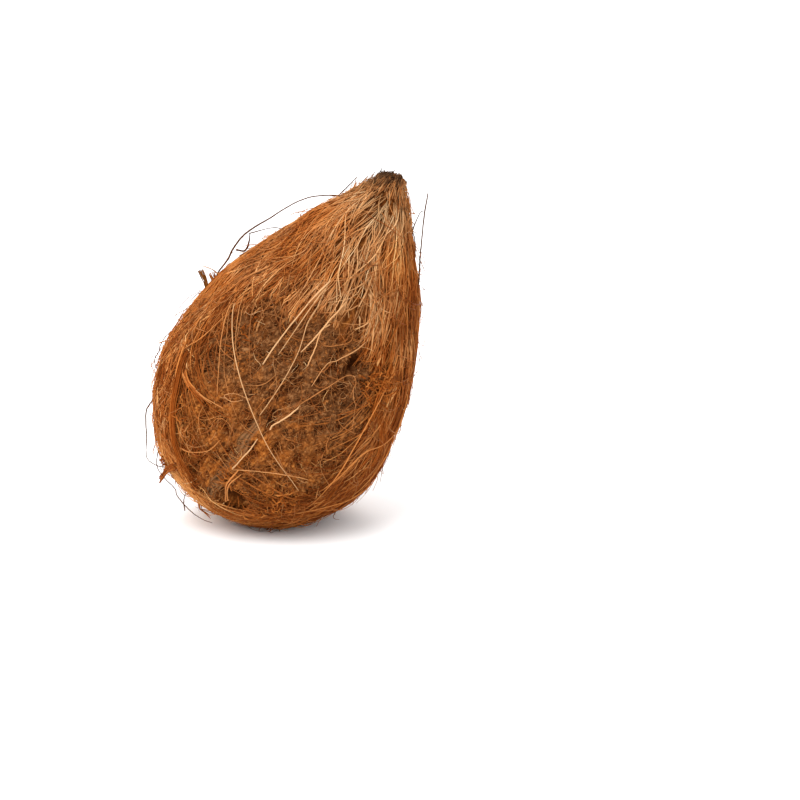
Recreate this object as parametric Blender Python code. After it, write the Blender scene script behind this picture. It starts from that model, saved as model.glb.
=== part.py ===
"""Tufted coconut, half husked, at rest on a small flat spot.

It is one natural piece: a round nut in a layer of coir husk, whose fibres are drawn up into a pointed tuft
round the cut stem end.  Lengths are in metres and angles in degrees.  The origin is the centre of the flat
spot, +Z is up, and the large bare patch of the husk faces -Y.

A place on the husk is (turn, height, lift).  Turn is the angle about the nut's own long axis, 0 at the
front and positive towards +X.  Height runs along that axis from the nut's centre towards the tip.  Lift is
the distance out from the smooth husk.
"""

import math

import bpy
import numpy as np

# The nut and its tuft
HUSK_RADIUS = 0.0615
TIP_HEIGHT = 0.1293
TIP_RADIUS = 0.0058
TAPER_HEIGHT = 0.135  # where the tuft's sides would meet
TAPER_POWER = 1.80
LEAN = 27.5  # of the long axis, from upright towards +X
SPOT_DEPTH = 0.0023  # how much of the round underside is worn flat
SCAR_DEPTH = 0.0016  # the dished cut at the stem end
LOBE_HEIGHT = 0.0009  # the three blunt corners of every coconut
# Broad hollows, and swellings where the depth is negative: turn, height, half turn, half height, depth
HOLLOWS = [(-92, 0.090, 42, 0.024, 0.0017), (92, 0.112, 42, 0.013, -0.0012), (95, -0.038, 42, 0.018, 0.0026)]

# The fibre coat, as ridges, and the patches where it has been pulled away
COLUMNS = 112
ROWS = 27
RIDGE_HEIGHT = 0.0014
COAT_DEPTH = 0.0030
LUMP_HEIGHT = 0.0009
EDGE_SOFTNESS = 0.08  # of the coat's torn edge, as a share of the patch
# turn, height, half width in degrees, half height in metres
BARE_PATCHES = [(-3, 0.013, 54, 0.047), (168, -0.010, 30, 0.027)]

# Strands, true to size or a little larger
LOCK_WIDTH, LOCK_THICKNESS = 0.0022, 0.0012
HAIR_WIDTH, HAIR_THICKNESS = 0.0009, 0.0008
STUB_WIDTH, STUB_THICKNESS = 0.0015, 0.0011
THINNEST = 0.0006
LOCK_COUNT = 46
FRINGE_COUNT = 12
STUB_COUNT = 14
ROOT_LIFT = -0.0030  # a root is sunk this far into the husk
LOCK_LIFT = 0.0017
FLOOR_CLEARANCE = 0.0008
HUSK_SEED, LOCK_SEED, FRINGE_SEED, STUB_SEED = 11, 23, 31, 47

# Loose hairs and torn scraps of husk: the places that each one passes through, height and lift in millimetres
HAIRS = {
    "left_bow": [
        (-106, 112, -3), (-106, 105, 0.8), (-102, 96, 6.0), (-101, 77, 7.0), (-100, 56, 5.2), (-100, 42, 1.6),
        (-99, 36, -3),
    ],
    "right_spike": [
        (86, 66, -3), (88, 78, -0.6), (88, 96, 2.0), (90, 108, 4.7), (90, 114, 6.4), (87, 123, 10),
    ],
    "right_hook": [(86, 98, -3), (88, 104, -0.6), (91, 110, 1.2), (92, 115, 5.0), (92, 116, 6.2)],
    "left_loop": [(-97, 14, -3), (-96, 7, 1.4), (-95, 0, 2.8), (-94, -8, 2.4), (-93, -15, -3)],
    "left_long": [
        (-88, -20, -3), (-88, -27, 1.2), (-86, -34, 3.4), (-82, -41, 5.2), (-79, -46, 8), (-76, -49, 5),
        (-72, -51, -3),
    ],
    "low_curl": [
        (-80, -42, -3), (-78, -47, 3.5), (-72, -51.5, 5.2), (-64, -55, 4.2), (-51, -57.4, 6), (-27, -59, 5),
        (-8, -59, -1),
    ],
    "face_long": [
        (-58, 44, -4), (-51, 39, 1.6), (-35, 24, 1.8), (-17, 8.4, 2.2), (0, -6, 1.8), (22, -20, 0.5),
        (30, -25, -5),
    ],
    "face_pale": [(-12, 76, -4), (-15, 69, 2.0), (-17, 61, 2.4), (-20, 43, 2.2), (-21, 27.4, 0.6)],
    "face_fork": [(2, 70, -4), (-2, 60, 2.0), (-4, 53, 2.4), (-8, 40.8, 0.8)],
    "face_arc": [(-9, -25, -5), (-2, -20, 1.4), (7, -16, 1.8), (26, -14, 0.6), (34, -16, -5)],
    "face_loop": [(2, 19, -5), (10, 31, 2.4), (17, 40, 3), (23, 39.6, 3), (25, 32, -5)],
    "right_sweep": [(62, 30, -3), (60, 14, 1.8), (52, -8, 2.2), (42, -24, 1.6), (30, -36, -3)],
    "back_bow": [(118, 112, -3), (124, 98, 5), (128, 82, 7), (131, 66, 4), (132, 52, -3)],
    "back_spike": [(-134, 88, -3), (-138, 101, 4), (-140, 113, 9), (-142, 119, 10)],
    "back_loop": [(150, 26, -3), (156, 14, 4), (166, 4, 5), (178, -4, -3)],
    "back_curl": [(-150, 10, -3), (-156, -6, 5), (-158, -20, 7), (-154, -32, 3), (-146, -38, -3)],
}
SCRAPS = {
    "left_flap": ([(-66, -47, -4), (-69, -51, 0.5), (-71, -52.5, 4), (-72, -53, 8)], 0.0046, 0.0024),
    "upper_chip": ([(-98, 32, -4), (-99, 35.5, 0), (-100, 37.5, 4), (-100, 39, 8.6)], 0.0036, 0.0024),
    "upper_prong": ([(-99, 37, -3), (-100, 40, 0.4), (-100, 42, 3.8)], 0.0040, 0.0024),
    "tuft_chip": ([(-100, 57, -4), (-100, 60.5, 1.2), (-102, 65, 5.4)], 0.0026, 0.0018),
    "foot_chip": ([(-40, -56, -3), (-33, -58.5, 1.5), (-24, -59, 3)], 0.0026, 0.0016),
    "right_flap": ([(48, 27, -4), (54, 15, 1), (58, 6, 2.2), (58, -2, 0)], 0.0048, 0.0020),
    "back_chip": ([(142, 52, -4), (144, 55, 2), (145, 59, 7)], 0.0034, 0.0018),
}


def clear_scene():
    for obj in list(bpy.data.objects):
        bpy.data.objects.remove(obj)


def ripple(turn, height, seed):
    """A smooth value from about -1 to 1 that wanders over the husk and meets itself all round."""
    rng = np.random.default_rng(seed)
    waves = 9
    total = 0.0
    for _ in range(waves):
        around, along, start = rng.integers(1, 8), rng.uniform(-90, 90), rng.uniform(0, 2 * math.pi)
        total = total + np.sin(around * np.radians(turn) + along * height + start)
    return total / math.sqrt(waves)


def husk_radius(height):
    """The smooth husk's distance from its axis: half a ball below, and a taper to the blunt tip above."""
    below = np.sqrt(np.maximum(HUSK_RADIUS**2 - np.minimum(height, 0.0) ** 2, 0.0))
    share = np.clip(height / TAPER_HEIGHT, 0.0, 1.0)
    taper = HUSK_RADIUS * (1 - share**TAPER_POWER)
    above = (taper**4 + TIP_RADIUS**4) ** 0.25
    return np.where(height < 0, below, above)


def outward(height):
    """The husk's outward direction at that height, as its parts away from and along the axis."""
    step = 0.0004
    rise = (husk_radius(height + step) - husk_radius(height - step)) / (2 * step)
    ball = height < -0.3 * HUSK_RADIUS
    away = np.where(ball, husk_radius(height) / HUSK_RADIUS, 1 / np.sqrt(1 + rise**2))
    along = np.where(ball, height / HUSK_RADIUS, -rise / np.sqrt(1 + rise**2))
    return away, along


def hollow_depth(turn, height):
    """How far the broad hollows draw the husk in: a soft round dip for each, in turn and in height."""
    depth = 0.0
    for middle_turn, middle_height, half_turn, half_height, deepest in HOLLOWS:
        sideways = (np.mod(turn - middle_turn + 180, 360) - 180) / half_turn
        upwards = (height - middle_height) / half_height
        depth = depth + deepest * np.exp(-(sideways**2) - upwards**2)
    return depth


def place(turn, height, lift):
    """The point of the world at (turn, height, lift), kept above what the coconut lies on."""
    turn, height, lift = (np.asarray(value, float) for value in (turn, height, lift))
    angle = np.radians(turn)
    away, along = outward(height)
    lift = lift - hollow_depth(turn, height) * away**2
    reach = husk_radius(height) + lift * away + LOBE_HEIGHT * np.cos(3 * angle) * away**2
    reach = np.maximum(reach, 0.0)
    across, depth, up = reach * np.sin(angle), -reach * np.cos(angle), height + lift * along
    lean = math.radians(LEAN)
    centre_height = HUSK_RADIUS - SPOT_DEPTH
    x = across * math.cos(lean) + up * math.sin(lean)
    z = up * math.cos(lean) - across * math.sin(lean) + centre_height
    return np.stack([x, depth, z], axis=-1)


def bareness(turn, height, ragged):
    """1 inside a bare patch and 0 under the coat; ragged moves the edge of the coat in and out."""
    most = np.zeros(np.broadcast(turn, height).shape)
    for middle_turn, middle_height, half_turn, half_height in BARE_PATCHES:
        sideways = (np.mod(turn - middle_turn + 180, 360) - 180) / half_turn
        upwards = (height - middle_height) / half_height
        inside = 1 - np.hypot(sideways, upwards) + ragged
        most = np.maximum(most, np.clip(inside / EDGE_SOFTNESS + 0.5, 0, 1))
    return most


def row_heights():
    """Heights from near the bottom pole up to the tip, evenly spaced along the husk's surface."""
    fine = np.concatenate([
        -HUSK_RADIUS * np.cos(np.linspace(0, math.pi / 2, 400)),
        np.linspace(0, TIP_HEIGHT, 400)[1:],
    ])
    steps = np.hypot(np.diff(fine), np.diff(husk_radius(fine)))
    run = np.concatenate([[0], np.cumsum(steps)])
    return np.interp(np.linspace(0, run[-1], ROWS + 1)[1:], run, fine)


def husk_grid():
    """The husk's points as rows by columns: fibres run up the columns, every second one a crest."""
    rng = np.random.default_rng(HUSK_SEED)
    height = row_heights()[:, None]
    column = np.arange(COLUMNS)[None, :]
    pitch = 360 / COLUMNS
    turn = column * pitch + pitch * 0.33 * ripple(column * pitch * 5, height, 3) + 5 * ripple(0, height, 5)
    crest = np.where(column % 2 == 0, 1.0, -1.0) * rng.uniform(0.55, 1.0, (1, COLUMNS))
    fade = np.clip(0.75 + 0.45 * ripple(turn, height, 7), 0.25, 1.2)
    column_width = husk_radius(height) * math.radians(pitch)
    ridge = crest * fade * np.minimum(RIDGE_HEIGHT, 0.45 * column_width)
    ragged = rng.uniform(-0.16, 0.16, (1, COLUMNS)) + 0.05 * ripple(turn, height, 9)
    bare = bareness(turn, height, ragged)
    lump = LUMP_HEIGHT * rng.uniform(-1, 1, ridge.shape)
    lift = ridge * (1 - bare) + (lump - COAT_DEPTH) * bare + 0.0008 * ripple(turn, height, 13)
    points = place(turn, height, lift)
    points[..., 2] = np.maximum(points[..., 2], 0.0)
    return points


def scar_rings(rim):
    """The dished, broken end of the stem: one ring and the middle point, inside the grid's last row."""
    rng = np.random.default_rng(HUSK_SEED + 1)
    middle = rim.mean(axis=0)
    axis = np.array([math.sin(math.radians(LEAN)), 0.0, math.cos(math.radians(LEAN))])
    rough = rng.uniform(-0.4, 0.4, (len(rim), 1))
    ring = middle + (rim - middle) * 0.6 - axis * SCAR_DEPTH * (0.5 + rough)
    return ring, middle - axis * SCAR_DEPTH


def build_husk():
    grid = husk_grid()
    pole = place(0.0, -HUSK_RADIUS, 0.0)
    ring, middle = scar_rings(grid[-1])
    points = np.concatenate([grid.reshape(-1, 3), ring, [pole], [middle]])
    rows = ROWS + 1
    pole_index, middle_index = rows * COLUMNS, rows * COLUMNS + 1
    faces = []
    for column in range(COLUMNS):
        following = (column + 1) % COLUMNS
        faces.append((pole_index, following, column))
        top = (rows - 1) * COLUMNS
        faces.append((top + column, top + following, middle_index))
        for row in range(rows - 1):
            low, high = row * COLUMNS, (row + 1) * COLUMNS
            faces.append((low + column, low + following, high + following, high + column))
    return mesh_object("coconut", points, faces)


def mesh_object(name, points, faces):
    mesh = bpy.data.meshes.new(name)
    mesh.from_pydata([tuple(point) for point in points], [], faces)
    mesh.validate()
    obj = bpy.data.objects.new(name, mesh)
    bpy.context.scene.collection.objects.link(obj)
    return obj


def smooth_route(route, rings):
    """Evenly spaced places on a smooth curve through the route's own places."""
    route = np.asarray(route, float)
    padded = np.concatenate([[2 * route[0] - route[1]], route, [2 * route[-1] - route[-2]]])
    share = np.linspace(0, len(route) - 1 - 1e-9, rings)
    index = share.astype(int)
    t = (share - index)[:, None]
    before, start, end, after = (padded[index + k] for k in range(4))
    return 0.5 * (
        2 * start
        + (end - before) * t
        + (2 * before - 5 * start + 4 * end - after) * t**2
        + (3 * start - before - 3 * end + after) * t**3
    )


def build_strand(name, places, width, thickness, rings):
    """A three-sided strand through places on the husk, blunt at its sunk root and drawn to a point."""
    places = smooth_route(places, rings)
    line = place(places[:, 0], places[:, 1], places[:, 2])
    out = place(places[:, 0], places[:, 1], places[:, 2] + 0.001) - line
    out /= np.linalg.norm(out, axis=1, keepdims=True)
    ahead = np.gradient(line, axis=0)
    side = np.cross(ahead, out)
    side /= np.linalg.norm(side, axis=1, keepdims=True)
    lowest = FLOOR_CLEARANCE + thickness / 2
    line[:, 2] = np.maximum(line[:, 2], lowest)
    full = np.linspace(1, THINNEST / thickness, rings)[:, None]
    left = line - side * full * width / 2 - out * full * thickness / 3
    right = line + side * full * width / 2 - out * full * thickness / 3
    crown = line + out * full * thickness * 2 / 3
    sides = np.stack([left, right, crown], axis=1)[:-1].reshape(-1, 3)
    points = np.concatenate([sides, line[-1:]])
    point_index = len(points) - 1
    faces = [(0, 1, 2)]
    for corner in range(3):
        following = (corner + 1) % 3
        for ring in range(rings - 2):
            low, high = 3 * ring, 3 * (ring + 1)
            faces.append((low + corner, high + corner, high + following, low + following))
        last = 3 * (rings - 2)
        faces.append((last + corner, point_index, last + following))
    return mesh_object(name, points, faces)


def lock_places():
    """Locks of fibre that start under the tip and run down the husk, even on all sides."""
    rng = np.random.default_rng(LOCK_SEED)
    for number in range(LOCK_COUNT):
        turn = 360 * (number + rng.uniform(0.2, 0.8)) / LOCK_COUNT
        start = rng.uniform(0.100, 0.116) if number % 2 else rng.uniform(0.040, 0.085)
        length = rng.uniform(0.045, 0.085)
        drift = rng.uniform(-16, 16)
        share = np.linspace(0, 1, 5)
        heights = start - length * share
        turns = turn + drift * share**1.5
        lifts = np.array([ROOT_LIFT, LOCK_LIFT, LOCK_LIFT * 1.3, LOCK_LIFT, ROOT_LIFT])
        bare = bareness(turns[-1:], heights[-1:], 0.0)[0] > 0.5
        if not bare:
            yield np.stack([turns, heights, lifts], axis=1)


def fringe_places():
    """Free ends that hang from the coat over the top edge of the front patch."""
    rng = np.random.default_rng(FRINGE_SEED)
    turn, height, half_turn, half_height = BARE_PATCHES[0]
    for number in range(FRINGE_COUNT):
        side = -0.85 + 1.7 * (number + rng.uniform(0.2, 0.8)) / FRINGE_COUNT
        edge = height + half_height * math.sqrt(1 - side**2)
        start = edge + rng.uniform(0.014, 0.024)
        end = edge - rng.uniform(0.006, 0.020)
        turns = turn + half_turn * side + np.array([6, 3, 0, -4]) * (1 - side)
        heights = np.linspace(start, end, 4)
        yield np.stack([turns, heights, [ROOT_LIFT, LOCK_LIFT, 0.0010, 0.0006]], axis=1)


def stub_places():
    """Short broken fibre ends round the cut tip."""
    rng = np.random.default_rng(STUB_SEED)
    for number in range(STUB_COUNT):
        turn = 360 * (number + rng.uniform(0.1, 0.9)) / STUB_COUNT
        reach = rng.uniform(0.0002, 0.0010)
        heights = TIP_HEIGHT + np.array([-0.006, -0.001, reach])
        lifts = [ROOT_LIFT, -0.0006, rng.uniform(-0.0012, 0.0008)]
        yield np.stack([[turn] * 3, heights, lifts], axis=1)


def build_strands():
    strands = []
    for number, places in enumerate(lock_places()):
        strands.append(build_strand(f"lock_{number}", places, LOCK_WIDTH, LOCK_THICKNESS, 7))
    for number, places in enumerate(fringe_places()):
        strands.append(build_strand(f"fringe_{number}", places, LOCK_WIDTH, LOCK_THICKNESS, 6))
    for number, places in enumerate(stub_places()):
        strands.append(build_strand(f"stub_{number}", places, STUB_WIDTH, STUB_THICKNESS, 4))
    millimetres = np.array([1, 0.001, 0.001])
    for name, route in HAIRS.items():
        rings = 3 * len(route) - 3
        strands.append(build_strand(name, route * millimetres, HAIR_WIDTH, HAIR_THICKNESS, rings))
    for name, (route, width, thickness) in SCRAPS.items():
        strands.append(build_strand(name, route * millimetres, width, thickness, 5))
    return strands


def fuse(body, pieces):
    """Joins the pieces to the body they grow from, and removes them."""
    grown = bpy.data.collections.new("grown")
    bpy.context.scene.collection.children.link(grown)
    for piece in pieces:
        bpy.context.scene.collection.objects.unlink(piece)
        grown.objects.link(piece)
    join = body.modifiers.new("join", "BOOLEAN")
    join.operation = "UNION"
    join.operand_type = "COLLECTION"
    join.collection = grown
    join.solver = "EXACT"
    bpy.context.view_layer.objects.active = body
    bpy.ops.object.modifier_apply(modifier=join.name)
    for piece in pieces:
        bpy.data.objects.remove(piece)
    bpy.data.collections.remove(grown)


def coir_material():
    material = bpy.data.materials.new("coir")
    material.use_nodes = True
    shader = material.node_tree.nodes["Principled BSDF"]
    shader.inputs["Base Color"].default_value = (0.36, 0.16, 0.05, 1.0)
    shader.inputs["Roughness"].default_value = 0.8
    shader.inputs["Metallic"].default_value = 0.0
    return material


def main():
    clear_scene()
    coconut = build_husk()
    coconut.data.materials.append(coir_material())
    fuse(coconut, build_strands())


main()
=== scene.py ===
import math

import bpy
import numpy as np
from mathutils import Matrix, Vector


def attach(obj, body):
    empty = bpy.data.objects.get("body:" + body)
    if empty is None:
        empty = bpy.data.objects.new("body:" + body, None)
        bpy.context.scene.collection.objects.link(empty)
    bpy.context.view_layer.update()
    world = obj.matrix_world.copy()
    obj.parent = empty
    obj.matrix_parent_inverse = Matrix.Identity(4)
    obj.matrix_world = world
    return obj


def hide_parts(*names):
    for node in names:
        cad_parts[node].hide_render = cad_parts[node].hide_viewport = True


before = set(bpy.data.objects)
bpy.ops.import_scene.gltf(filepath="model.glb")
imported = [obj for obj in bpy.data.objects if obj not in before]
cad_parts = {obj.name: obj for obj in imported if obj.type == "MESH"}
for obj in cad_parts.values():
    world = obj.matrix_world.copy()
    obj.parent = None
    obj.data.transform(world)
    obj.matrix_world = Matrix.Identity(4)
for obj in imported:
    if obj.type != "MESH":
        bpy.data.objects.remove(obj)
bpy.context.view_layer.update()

mm = 0.001
print("frame loaded:", sorted(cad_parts))

# The nut is worked out in a frame of its own: its long axis is Z and the large bare patch faces -Y.
# A place on the husk is (turn, height, lift): degrees about the axis from the front towards +X, the
# distance along the axis from the nut's middle, and the distance out from the husk.
nut = {
    "radius": 0.0615,
    "tipHeight": 0.1293,
    "tipRadius": 0.0058,
    "taperHeight": 0.135,
    "taperPower": 1.80,
    "lean": 27.5,         # degrees, from upright towards +X
    "spotDepth": 0.0023,  # how far the round underside is worn flat
    "lobe": 0.0009,       # the three blunt corners of every coconut
    "bareDepth": 0.0030,
    # turn, height, half width in degrees, half height
    "barePatches": [(-3, 0.013, 54, 0.047), (-8, -0.034, 26, 0.013), (168, -0.010, 30, 0.027)],
    # turn, height, half turn, half height, depth; a swelling has a negative depth
    "hollows": [(-92, 0.090, 42, 0.024, 0.0017), (92, 0.112, 42, 0.013, -0.0012),
                (95, -0.038, 42, 0.018, 0.0026)],
    "dents": [(-1, -0.0415, 9, 0.0050, 0.0060), (21, 0.046, 4.5, 0.010, 0.0042)],
    "cutLevel": (0.1680, 0.1750),  # world heights between which fibre ends turn dark
    "trimLevel": 0.1764,          # the world height at which the tip is cut level, up to the bend
    "trimBend": 0.0575,
    "trimSlope": 0.75,
}


def huskRadius(height):
    # below the middle a circle, above it a power taper blended with the blunt tip
    below = np.sqrt(np.maximum(nut["radius"]**2 - np.minimum(height, 0.0)**2, 0.0))
    share = np.clip(height / nut["taperHeight"], 0.0, 1.0)
    taper = nut["radius"] * (1 - share**nut["taperPower"])
    above = (taper**4 + nut["tipRadius"]**4)**0.25
    return np.where(height < 0, below, above)


def huskPoint(turn, height):
    # the radius at that height, carried round the axis by the turn
    angle = np.radians(turn)
    radius = huskRadius(height)
    return np.stack(np.broadcast_arrays(radius * np.sin(angle), -radius * np.cos(angle), height), axis=-1)


def turnOf(points):
    # degrees about the axis from the front
    return np.degrees(np.arctan2(points[..., 0], -points[..., 1]))


def turnFrom(turn, middle):
    # how far a turn lies from a middle one, between -180 and 180
    return np.mod(turn - middle + 180, 360) - 180


def unit(vectors):
    return vectors / np.maximum(np.linalg.norm(vectors, axis=-1, keepdims=True), 1e-9)


def flatTo(vectors, normals):
    # what is left of each vector along the surface with that normal
    return vectors - (vectors * normals).sum(-1, keepdims=True) * normals


def huskNormal(points):
    # the slope of the profile turned a quarter; on the ball it is the point's own direction
    height = points[..., 2]
    step = 0.0004
    rise = (huskRadius(height + step) - huskRadius(height - step)) / (2 * step)
    angle = np.radians(turnOf(points))
    cone = np.stack([np.sin(angle), -np.cos(angle), -rise], axis=-1)
    ball = height < -0.3 * nut["radius"]
    return unit(np.where(ball[..., None], points, cone))


def ontoHusk(points):
    # below the middle pushed out along the radius, above it pushed out sideways
    height = np.clip(points[..., 2], -nut["radius"], nut["tipHeight"])
    across = np.maximum(np.hypot(points[..., 0], points[..., 1]), 1e-9)
    radius = huskRadius(height)
    sideways = np.stack([points[..., 0] / across * radius, points[..., 1] / across * radius, height], axis=-1)
    return np.where((height < 0)[..., None], unit(points) * nut["radius"], sideways)


def leanOver(directions):
    # turns the nut's own frame about Y until its axis leans
    lean = math.radians(nut["lean"])
    x = directions[..., 0] * math.cos(lean) + directions[..., 2] * math.sin(lean)
    z = directions[..., 2] * math.cos(lean) - directions[..., 0] * math.sin(lean)
    return np.stack([x, directions[..., 1], z], axis=-1)


nutRise = nut["radius"] - nut["spotDepth"]  # height of the nut's middle over the floor


def toWorld(points):
    # leant over, then raised until the flat spot lies on z = 0
    return leanOver(points) + np.array([0, 0, nutRise])


def trimHeight(points):
    # level as far as the bend, then falling away over a centimetre to the side that leans down
    return nut["trimLevel"] - nut["trimSlope"] * np.clip(points[..., 0] - nut["trimBend"], 0, 0.010)


def drift(points, size, seed, count=18):
    # smooth noise: a sum of plane waves about `size` long, scaled to a spread of 1
    rng = np.random.default_rng(seed)
    ways = rng.normal(size=(3, count))
    ways /= np.linalg.norm(ways, axis=0)
    ways *= 2 * math.pi / size * rng.uniform(0.6, 1.5, count)
    return np.sin(points @ ways + rng.uniform(0, 2 * math.pi, count)).sum(axis=-1) * math.sqrt(2 / count)


def smoothStep(low, high, value):
    # 0 below low, 1 above high, and between them 3t^2 - 2t^3
    share = np.clip((value - low) / (high - low), 0, 1)
    return share * share * (3 - 2 * share)


def roundDip(points, middle):
    # a bell in turn times a bell in height: 1 at the middle of (turn, height, half turn, half height)
    midTurn, midHeight, halfTurn, halfHeight = middle
    sideways = turnFrom(turnOf(points), midTurn) / halfTurn
    return np.exp(-sideways**2 - ((points[..., 2] - midHeight) / halfHeight)**2)


def bareness(points):
    # 1 well inside a patch where the coat is gone, 0 outside, 0.5 on the torn edge
    most = np.full(points.shape[:-1], -9.0)
    for midTurn, midHeight, halfTurn, halfHeight in nut["barePatches"]:
        sideways = turnFrom(turnOf(points), midTurn) / halfTurn
        upwards = (points[..., 2] - midHeight) / halfHeight
        most = np.maximum(most, 1 - np.hypot(sideways, upwards))
    most = most + 0.06 * drift(points, 0.022, 5) + 0.04 * drift(points, 0.007, 6)
    return np.clip(most / 0.16 + 0.5, 0, 1)


def dentDepth(points):
    # the two holes in the front, as deep as their bells add up to
    return sum(depth * roundDip(points, middle) for *middle, depth in nut["dents"])


def formLift(points):
    # the three lobes less the broad hollows, both fading out towards the poles
    normal = huskNormal(points)
    away = np.hypot(normal[..., 0], normal[..., 1])
    lift = nut["lobe"] * np.cos(3 * np.radians(turnOf(points)))
    for *middle, depth in nut["hollows"]:
        lift = lift - depth * roundDip(points, middle)
    return lift * away**2


def bodyLift(points):
    # the form, some slow unevenness, and the sunken bare patches
    return formLift(points) + 0.0006 * drift(points, 0.05, 8) - nut["bareDepth"] * bareness(points)


def addObject(name, data):
    # every object hangs in the scene's own collection
    thing = bpy.data.objects.new(name, data)
    bpy.context.scene.collection.objects.link(thing)
    return thing


def addPiece(name, material, points, triangles, cornerUv, smooth=True, **values):
    # a closed mesh with one map corner for each triangle corner and the named values on its points
    mesh = bpy.data.meshes.new(name)
    mesh.vertices.add(len(points))
    mesh.vertices.foreach_set("co", points.astype(np.float32).ravel())
    mesh.loops.add(triangles.size)
    mesh.loops.foreach_set("vertex_index", triangles.astype(np.int32).ravel())
    mesh.polygons.add(len(triangles))
    mesh.polygons.foreach_set("loop_start", np.arange(0, triangles.size, 3, dtype=np.int32))
    mesh.polygons.foreach_set("use_smooth", np.full(len(triangles), smooth))
    for label, numbers in values.items():
        layer = mesh.attributes.new(label, "FLOAT", "POINT")
        layer.data.foreach_set("value", numbers.astype(np.float32).ravel())
    uvLayer = mesh.uv_layers.new(name="OFBake")
    uvLayer.data.foreach_set("uv", cornerUv.astype(np.float32).ravel())
    mesh.update(calc_edges=True)
    mesh.validate()
    mesh.materials.append(material)
    piece = addObject(name, mesh)
    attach(piece, "root")
    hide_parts("coconut")
    print(f"{name}: {len(mesh.polygons)} triangles")


def tubeFaces(rings, sides):
    # two triangles for each cell of a closed tube, and where their corners lie on it when unrolled
    ring, side = (part.ravel() for part in np.meshgrid(np.arange(rings - 1), np.arange(sides), indexing="ij"))
    a, b = ring * sides + side, ring * sides + (side + 1) % sides
    c, d = a + sides, b + sides
    foot, footNext, headNext, head = (np.stack([(side + across) / sides, (ring + up) / (rings - 1)], -1)
                                      for across, up in ((0, 0), (1, 0), (1, 1), (0, 1)))
    corners = [np.stack([foot, footNext, headNext], 1), np.stack([foot, headNext, head], 1)]
    return np.concatenate([np.stack([a, b, d], 1), np.stack([a, d, c], 1)]), np.concatenate(corners)


strand = {
    "floorGap": 0.00015,            # how far strands stay over the floor
    "ragged": (0.0007, 0.0022),     # height and size of the unevenness where the tip is trimmed
    "charEdge": (0.0018, 0.0035),   # the same for the edge of the dark ends
    "steps": 26,                    # steps in a strand's walk down the husk
    "dentStop": 0.0022,             # a strand stops where a dent gets this deep
    "bareStop": (0.25, 0.95),       # or somewhere in this range of bareness
    "kink": 0.00014,
    "uneven": 0.00012,
    "rootSink": 0.0012,
    "crown": 0.00025,               # how much lower the strands beside the middle of a lock lie
    "pressIn": (0.0011, 0.116, 0.128),  # how far strands are pressed in at the tip, and between which heights
}


def strandPiece(name, material, lines, normals, widths, flatness, tint, grey, char=0.0):
    # a three-sided tube along each line (strands x rings x 3, in the nut's frame), as wide as widths
    # says (strands x rings) and flattened towards the husk; the tip is trimmed and its ends are dark
    count, rings = lines.shape[:2]
    sides = 3
    ahead = unit(np.gradient(lines, axis=1))
    side = np.cross(ahead, normals)
    weak = np.linalg.norm(side, axis=-1, keepdims=True) < 0.15
    side = unit(np.where(weak, np.cross(ahead, np.array([0.31, 0.52, 0.79])), side))
    up = np.cross(side, ahead)
    angles = np.radians([90, 210, 330])[:, None]
    shape = side[:, :, None] * np.cos(angles) + up[:, :, None] * np.sin(angles) * flatness
    points = toWorld(lines[:, :, None] + widths[..., None, None] / 2 * shape)
    ragged, raggedSize = strand["ragged"]
    trim = trimHeight(points) + ragged * drift(points, raggedSize, 62)
    points[..., 2] = np.clip(points[..., 2], strand["floorGap"], trim)
    edge, edgeSize = strand["charEdge"]
    cut = smoothStep(*nut["cutLevel"], points[..., 2] + edge * drift(points, edgeSize, 61))
    walls, corners = tubeFaces(rings, sides)
    last = (rings - 1) * sides
    template = np.concatenate([walls, [(0, 2, 1), (last, last + 1, last + 2)]])
    triangles = template[None] + (np.arange(count) * rings * sides)[:, None, None]
    cap = np.array([(0.0, 0.0), (0.3, 0.0), (0.15, 0.03)])
    corners = np.concatenate([corners, [cap, 1 - cap]])
    across = math.ceil(math.sqrt(count * 1.6))  # strands side by side in the map
    cell = np.stack([np.arange(count) % across, np.arange(count) // across], -1)
    cells = np.array([across, math.ceil(count / across)])
    cornerUv = (cell[:, None, None] + 0.06 + 0.88 * corners[None]) / cells
    perPoint = lambda values, rows: np.broadcast_to(np.reshape(values, (rows, -1, 1)), (count, rings, sides))
    addPiece(name, material, points.reshape(-1, 3), triangles.reshape(-1, 3), cornerUv,
             cut=np.maximum(cut, char), tint=perPoint(tint, count), grey=perPoint(grey, count),
             along=perPoint(np.linspace(0, 1, rings), 1))


def scatter(count, lowest, highest, rng):
    # turn and height spread evenly over the husk's area between two heights
    table = np.linspace(lowest, highest, 500)
    run = np.hypot(np.gradient(table), np.gradient(huskRadius(table)))
    total = np.cumsum(run * huskRadius(table))
    height = np.interp(rng.uniform(total[0], total[-1], count), total, table)
    return huskPoint(rng.uniform(-180, 180, count), height)


def lockStarts(middles, look, rng):
    # a lock's strands stand to either side of its middle and a little above or below it; also which
    # lock each strand is in, and how far aside it stands
    lockOf = np.repeat(np.arange(len(middles)), look["perLock"])
    aside = rng.normal(size=lockOf.size)
    height = middles[lockOf, 2] + look["lockLength"] * rng.normal(size=lockOf.size)
    height = np.clip(height, -0.0610, nut["tipHeight"] - 0.0003)
    offset = np.degrees(aside * look["lockWidth"] / 2 / np.maximum(huskRadius(middles[lockOf, 2]), 0.004))
    return huskPoint(turnOf(middles)[lockOf] + np.clip(offset, -25, 25), height), lockOf, aside


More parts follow.
